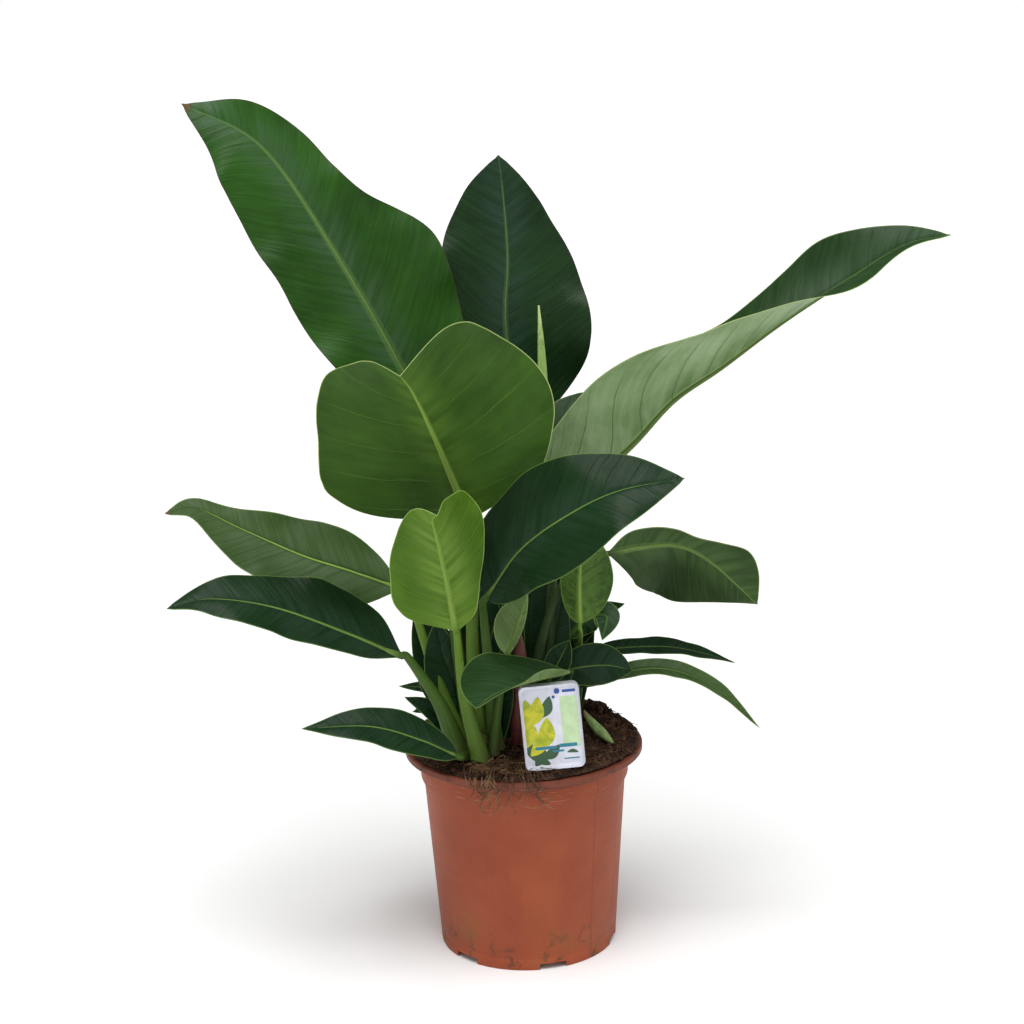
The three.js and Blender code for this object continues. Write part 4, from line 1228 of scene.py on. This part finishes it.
def make_pot():
    """Turned from its section, with notches and drain holes cut out."""
    pot = lathed("pot", pot_profile(), POT_SIDES)
    edit(pot, FILL, OUTWARD)
    cutters = foot_cutters()
    applied(pot, "BOOLEAN", operation="DIFFERENCE", solver="EXACT", object=cutters)
    discard(cutters)
    round_off(pot, 35)
    place(pot, FINISHES["pot"], "pot", "pot")


# ---------------------------------------------------------------- the soil
def rough_soil(x, y):
    """How far peat rises with its clods and crumbs, at three scales."""
    rise = []
    for px, py in zip(x, y):
        at = Vector((px, py, 0))
        rise.append(1.5 * noise.fractal(at * 0.11, 0.8, 2.1, 4) + 0.8 * abs(noise.noise(at * 0.5))
                    + 0.5 * noise.noise(at * 1.3))
    return np.array(rise)


def soil_margin(turn):
    """Where the peat that has spilled onto the lip ends: a ragged line near its edge."""
    ragged = [noise.noise(Vector((2.4 * math.cos(t), 2.4 * math.sin(t), 3))) for t in turn]
    fine = [noise.noise(Vector((9 * math.cos(t), 9 * math.sin(t), 7))) for t in turn]
    return POT["rim"] - 2.2 + 1.2 * np.array(ragged) + 1.1 * np.array(fine)


def spilled(x, y):
    """The visible top of the peat: mounded, rough, and spread over the flat of the lip."""
    radius = np.hypot(x, y)
    rough = rough_soil(x, y)
    heap = np.clip((x - 10) / 60, 0, 1) + np.clip((-x - 60) / 40, 0, 0.3)
    on_lip = POT["height"] + 1.6 + 3.2 * heap + 0.8 * rough
    mound = sum(tall * np.exp(-((x - across) ** 2 + (y - back) ** 2) / spread**2)
                for across, back, spread, tall in HEAPS)
    inside = soil_height(x, y) + rough + mound
    near_wall = 70
    share = np.clip((radius - near_wall) / 12, 0, 1)
    return np.where(radius < near_wall, inside, np.maximum(inside * (1 - share) + on_lip * share, on_lip))


def make_soil():
    """The body of peat: its spilled top, then its side along the pot's wall and its floor."""
    floor = POT["floor"] + POT["floor_thick"] + GAP
    lip = POT["height"] + 0.2
    wall = np.array([
        (soil_radius - 0.2, lip), (soil_radius, soil_edge), bore(band_bottom, -GAP), bore(shoulder, -GAP),
        bore(floor, -GAP), (40, floor), (0.001, floor),
    ])
    top_share = 0.86

    def shape(across, along):
        turn = 2 * np.pi * across
        on_top = along <= top_share
        down = (along - top_share) / (1 - top_share)
        edge = soil_margin(turn)
        spread = edge * np.clip(along / top_share, 0, 1) ** 0.85
        radius = np.where(on_top, spread, straight(wall[:, 0], down))
        x, y = radius * np.cos(turn), radius * np.sin(turn)
        at_edge = np.clip((edge - radius) / 2.5, 0, 1) ** 0.5
        height = (lip + 0.1) * (1 - at_edge) + spilled(x, y) * at_edge
        return np.stack([x, y, np.where(on_top, height, straight(wall[:, 1], down))], axis=1), {}

    soil = draped("soil", *SOIL_GRID, shape)
    edit(soil, MERGE, OUTWARD)
    round_off(soil, 80)
    place(soil, FINISHES["peat"], "soil", "soil")
    make_crumbs()
    make_fibres()


def ground(x, y):
    """The height of the peat at one place."""
    return float(spilled(np.array([x]), np.array([y]))[0])


def on_soil(chance, reach):
    """A random place on the round of the soil."""
    radius = reach * math.sqrt(chance.random())
    turn = chance.uniform(0, 2 * math.pi)
    return radius * math.cos(turn), radius * math.sin(turn)


def make_crumbs():
    """Loose lumps of peat and bark, half sunk in the surface."""
    chance = random.Random(5)
    crumbs = []
    for _ in range(6):
        clear_selection()
        bpy.ops.mesh.primitive_ico_sphere_add(subdivisions=1, radius=1)
        crumb = just_made("crumb")
        for vertex in crumb.data.vertices:
            vertex.co *= chance.uniform(0.6, 1.25)
        crumbs.append(crumb)
    made = []
    for n in range(CRUMBS):
        x, y = on_soil(chance, POT["rim"] - 5)
        size = chance.choice(CRUMB_SIZES)
        # one in twelve is a large clod on the right-hand heap
        if n % 12 == 0:
            x, y = 58 + chance.uniform(-24, 22), chance.uniform(-30, 40)
            size = chance.uniform(2.8, 4.4)
        copy = copy_of(chance.choice(crumbs))
        turn = turned_about(chance.uniform(0, 6.3), "Z") @ turned_about(chance.uniform(0, 3), "X")
        long, flat = chance.uniform(0.8, 1.7), chance.uniform(0.5, 0.9)
        stretch = Matrix.Diagonal((size * long, size, size * flat, 1))
        there = Matrix.Scale(MM, 4) @ Matrix.Translation((x, y, ground(x, y) + 0.2 * size))
        copy.data.transform(there @ turn @ stretch)
        made.append(copy)
    discard(*crumbs)
    place(joined("soil_crumbs", made), FINISHES["crumb"], "soil")


def strand(name, path, thick, sides, rings):
    """A thin root or fibre that ends a little thinner."""
    return tube(name, path, [thick, thick, 0.6 * thick], rings, sides)


def make_fibres():
    """Coarse peat fibres that lie on the surface and arch out of it, copied from ten."""
    chance = random.Random(11)
    kinds = []
    for _ in range(10):
        path = [[14 * (k / 3 - 0.5), chance.uniform(-2, 2), 0 if k in (0, 3) else chance.uniform(0.6, 2.6)]
                for k in range(4)]
        kinds.append(strand("fibre", path, chance.uniform(0.17, 0.4), 4, 7))
    made = []
    for _ in range(FIBRES):
        x, y = on_soil(chance, POT["rim"] - 6)
        copy = copy_of(chance.choice(kinds))
        turn = turned_about(chance.uniform(0, 6.3), "Z") @ turned_about(chance.uniform(-0.3, 0.3), "Y")
        long = Matrix.Diagonal((chance.uniform(0.4, 1.2), 1, chance.uniform(0.5, 1.3), 1))
        copy.data.transform(Matrix.Translation((x * MM, y * MM, (ground(x, y) + 0.1) * MM)) @ turn @ long)
        made.append(copy)
    discard(*kinds)
    piece = joined("soil_fibres", made)
    round_off(piece, 80)
    place(piece, FINISHES["fibre"], "soil")


# ---------------------------------------------------------------- roots over the rim
def front(radius, across):
    """The foremost place on a round of the pot, this far across."""
    return -math.sqrt(radius**2 - across**2)


def make_roots():
    """Tangles of fine roots at the front left, over the lip and down the band."""
    chance = random.Random(23)
    for name, (middle, drop, lean) in TANGLES.items():
        made = []
        for n in range(13):
            across = middle + chance.uniform(-12, 12)
            fall = drop * chance.uniform(0.25, 1.05) if n else drop
            sway = lean * chance.uniform(-0.6, 1.6)
            lip = POT["height"] + chance.uniform(0.5, 1.6)
            start = across - chance.uniform(-9, 9)
            out = POT["rim"] + chance.uniform(0.6, 2.6)
            path = [
                [start, front(soil_radius, start) + chance.uniform(10, 20), lip + chance.uniform(1, 5)],
                [across - 0.4 * sway, front(soil_radius, across) + 4, lip + chance.uniform(0.6, 2.6)],
                [across, front(POT["rim"] - 2, across), lip],
                [across + 0.4 * sway, front(out, across), lip - 3],
                [across + 0.8 * sway + chance.uniform(-5, 5), front(out, across), lip - 3 - 0.45 * fall],
                [across + sway + chance.uniform(-6, 6), front(out, across), lip - 3 - 0.75 * fall],
                [across + sway + chance.uniform(-8, 8), front(out, across), lip - 3 - fall],
            ]
            made.append(strand(f"{name}_{n}", path, chance.uniform(0.2, 0.52), 5, 26))
        # loose ones that lie about on the peat behind the lip
        for n in range(30):
            x = middle + chance.uniform(-22, 24)
            y = front(soil_radius, x) + chance.uniform(2, 20)
            path = [[x + chance.uniform(-7, 7), y + chance.uniform(-4, 4), 0] for _ in range(4)]
            for point in path:
                point[1] = max(point[1], front(soil_radius - 1, point[0]))
                point[2] = max(ground(point[0], point[1]), POT["height"]) + chance.uniform(0.3, 4.5)
            made.append(strand(f"{name}_loose_{n}", path, chance.uniform(0.18, 0.4), 4, 14))
        piece = joined(name, made)
        round_off(piece, 80)
        place(piece, FINISHES["root"], "root", name)


# ---------------------------------------------------------------- the label
LABEL_AT = (LABEL["across"], front(POT["band"] - LABEL["inside"], LABEL["across"]))
label_foot = float(soil_under(*LABEL_AT, LABEL["stake_width"])) + LABEL["above"]
label_place = (Matrix.Translation((LABEL_AT[0] * MM, LABEL_AT[1] * MM, label_foot * MM))
               @ turned_about(math.radians(-LABEL["lean"]), "X")
               @ turned_about(math.radians(-LABEL["turn"]), "Y")
               @ turned_about(math.radians(90), "X")
               @ Matrix.Translation((0, LABEL["height"] / 2 * MM, 0)))


def card_shape(name, middle, width, height, corner, thick, level):
    """A flat plate with rounded corners, drawn face up before it is stood in its place. Its
    face is at `level`."""
    clear_selection()
    bpy.ops.mesh.primitive_cube_add(size=1, scale=(width * MM, height * MM, thick * MM),
                                    location=(middle[0] * MM, middle[1] * MM, (level - thick / 2) * MM))
    piece = settle(just_made(name))
    choose(piece)
    bpy.ops.object.mode_set(mode="EDIT")
    bpy.ops.mesh.select_all(action="DESELECT")
    bpy.ops.object.mode_set(mode="OBJECT")
    for edge in piece.data.edges:
        a, b = (piece.data.vertices[k].co for k in edge.vertices)
        edge.select = abs(a.z - b.z) > 0.5 * thick * MM
    bpy.ops.object.mode_set(mode="EDIT")
    bpy.ops.mesh.select_mode(type="EDGE")
    bpy.ops.mesh.bevel(offset=corner * MM, segments=8, affect="EDGES")
    bpy.ops.object.mode_set(mode="OBJECT")
    return piece


def printed_leaf(name, middle, long, broad, turn, level):
    """A pointed leaf shape of ink, from a grid pinched at both ends."""
    def shape(across, along):
        half = broad / 2 * np.sin(np.pi * along) ** 0.8
        x = (across - 0.5) * 2 * half + 0.12 * long * np.sin(np.pi * along)
        y = (along - 0.5) * long
        c, s = math.cos(turn), math.sin(turn)
        return np.stack([middle[0] + c * x - s * y, middle[1] + s * x + c * y, level + 0 * x], axis=1), {}

    return draped(name, 6, 18, shape)


def printed_leaves(name, rows, level, step):
    """Leaf shapes, each a step above the one before, so that they lie in order."""
    return joined(name, [printed_leaf(f"{name}_{n}", *row, level + step * n) for n, row in enumerate(rows)])


def printed_plates(name, rows, level):
    """Plain shapes of ink with rounded corners."""
    return joined(name, [card_shape(f"{name}_{n}", *row, INK_THICK, level) for n, row in enumerate(rows)])


def make_label():
    """A card on a stake, with its print in thin layers of ink."""
    thick, corner = LABEL["thickness"], LABEL["corner"]
    card = card_shape("label", (0, 0), LABEL["width"], LABEL["height"], corner, thick, thick / 2)
    # the stake is a hair thinner than the card, and its top is inside it
    stake_middle = (0, (corner - LABEL["stake_depth"] - LABEL["height"]) / 2)
    stake = card_shape("stake", stake_middle, LABEL["stake_width"], LABEL["stake_depth"] + corner, 1.5,
                       thick * 0.98, thick / 2 * 0.98)
    card = joined("label", [card, stake])
    applied(card, "BEVEL", width=0.12 * MM, segments=2, limit_method="ANGLE")
    level = thick / 2 + 0.04
    pieces = (
        (card, "card"),
        (printed_leaves("label_foliage", FOLIAGE_PRINT, level, 0.01), "ink_leaf"),
        (printed_plates("label_band", BAND_PRINT, level), "ink_band"),
        (printed_leaves("label_shade", SHADE_PRINT, level, 0.005), "ink_dark"),
        (printed_plates("label_strokes", STROKE_PRINT, level + 0.09), "ink_teal"),
        (printed_plates("label_mark", MARK_PRINT, level), "ink_blue"),
    )
    for piece, finish in pieces:
        piece.data.transform(label_place)
        round_off(piece, 40)
        place(piece, FINISHES[finish], "label", *(["label"] if piece is card else []))


# ---------------------------------------------------------------- all of it
FINISHES = {
    "pot": pot_finish(),
    "peat": peat_finish("peat", (32, 22, 17), (76, 53, 41), (104, 74, 52)),
    "crumb": peat_finish("peat_crumb", (38, 26, 20), (94, 67, 51), (116, 86, 62)),
    "fibre": peat_finish("peat_fibre", (70, 46, 30), (118, 86, 58), (132, 100, 70)),
    "root": root_finish(),
    "stem": stem_finish(),
    "stalk_lit": stalk_finish("stalk_lit", (80, 108, 36), (100, 134, 44), (134, 166, 70)),
    "stalk_bright": stalk_finish("stalk_bright", (62, 88, 30), (68, 98, 36), (108, 136, 62)),
    "stalk_dark": stalk_finish("stalk_dark", (40, 60, 24), (48, 72, 30), (100, 126, 62)),
    "new_leaf": sheath_finish("new_leaf", (146, 180, 90), (178, 208, 124), (190, 212, 138)),
    "red_sheath": sheath_finish("red_sheath", (76, 32, 30), (116, 52, 48), (92, 54, 40)),
    "pale_sheath": sheath_finish("pale_sheath", (96, 122, 64), (132, 154, 92), (120, 112, 70)),
    "margin_bright": margin_finish("margin_bright", (160, 182, 100)),
    "margin_green": margin_finish("margin_green", (98, 124, 62)),
    "margin_dark": margin_finish("margin_dark", (64, 58, 42)),
    "card": card_finish("label_card", (222, 224, 236)),
    "ink_leaf": foliage_print_finish(),
    "ink_band": card_finish("label_print_band", (196, 222, 176)),
    "ink_dark": card_finish("label_print_shade", (58, 92, 62)),
    "ink_teal": card_finish("label_print_teal", (44, 128, 150)),
    "ink_blue": card_finish("label_print_blue", (46, 84, 160)),
}
for tone, tones in UPPER_TONES.items():
    FINISHES[f"leaf_{tone}"] = leaf_finish(f"leaf_{tone}", tones, False)
for tone in ("fresh", "dusty"):
    FINISHES[f"leaf_{tone}_tipped"] = leaf_finish(f"leaf_{tone}_tipped", UPPER_TONES[tone], False, True)
for tone, tones in UNDER_TONES.items():
    FINISHES[f"leaf_{tone}_under"] = leaf_finish(f"leaf_{tone}_under", tones, True)

make_leaves()
make_stems()
make_shoots()
make_pot()
make_soil()
make_roots()
make_label()


# ---------------------------------------------------------------- studio
CAMERA_AT = (-0.0042, -1.5, 0.7092)
CAMERA_DOWN = 13.30
CAMERA_ROLL = -1.62
CAMERA_LENS = 69.37
KEY_FROM = (-0.06, -0.75, 2.4)
KEY_SPREAD = 44
KEY_STRENGTH = 2.5


def make_floor():
    """A wide sheet of white paper."""
    clear_selection()
    bpy.ops.mesh.primitive_circle_add(vertices=64, radius=80, fill_type="NGON")
    floor = just_made("floor")
    material, _, shader = new_finish("floor_paper")
    shader.inputs["Base Color"].default_value = (0.97, 0.97, 0.97, 1)
    shader.inputs["Roughness"].default_value = 0.9
    shader.inputs["Specular IOR Level"].default_value = 0.1
    floor.data.materials.append(material)


def make_light(name, comes_from, spread, strength):
    """An even light from one side, as soft as a large cloth would make it."""
    clear_selection()
    bpy.ops.object.light_add(type="SUN", location=comes_from)
    light = bpy.context.object
    light.name = name
    light.data.energy = strength
    light.data.angle = math.radians(spread)
    light.rotation_euler = Vector(comes_from).to_track_quat("Z", "Y").to_euler()


def make_sky():
    """White near the horizon, softer overhead, and dim behind the plant, where there is
    nothing but the dark of the studio to shine in the leaves."""
    world = bpy.data.worlds.new("studio_air")
    world.use_nodes = True
    tree = world.node_tree
    background = tree.nodes["Background"]
    direction = node(tree, "ShaderNodeTexCoord").outputs["Generated"]
    _, depth, height = node(tree, "ShaderNodeSeparateXYZ", {0: direction}).outputs
    behind = times(tree, ease(tree, depth, -0.2, 0.5), ease(tree, height, 0.03, 0.14, 0.0, 0.75))
    air = times(tree, ease(tree, height, 0.05, 0.45, 1.0, 0.6), maths(tree, "SUBTRACT", 1.0, behind))
    tree.links.new(air, background.inputs["Strength"])
    background.inputs["Color"].default_value = (1, 1, 1, 1)
    bpy.context.scene.world = world


def make_camera():
    """In front of the plant, a little above it and looking down at it."""
    clear_selection()
    bpy.ops.object.camera_add()
    camera = bpy.context.object
    camera.name = "front_camera"
    camera.data.sensor_width = 36
    camera.data.lens = CAMERA_LENS
    tilt = turned_about(math.radians(90 - CAMERA_DOWN), "X")
    roll = turned_about(math.radians(CAMERA_ROLL), "Z")
    camera.matrix_world = Matrix.Translation(CAMERA_AT) @ tilt @ roll
    bpy.context.scene.camera = camera


make_floor()
make_sky()
make_light("key", KEY_FROM, KEY_SPREAD, KEY_STRENGTH)
make_camera()
bpy.context.scene.view_settings.view_transform = "Standard"

clear_selection()
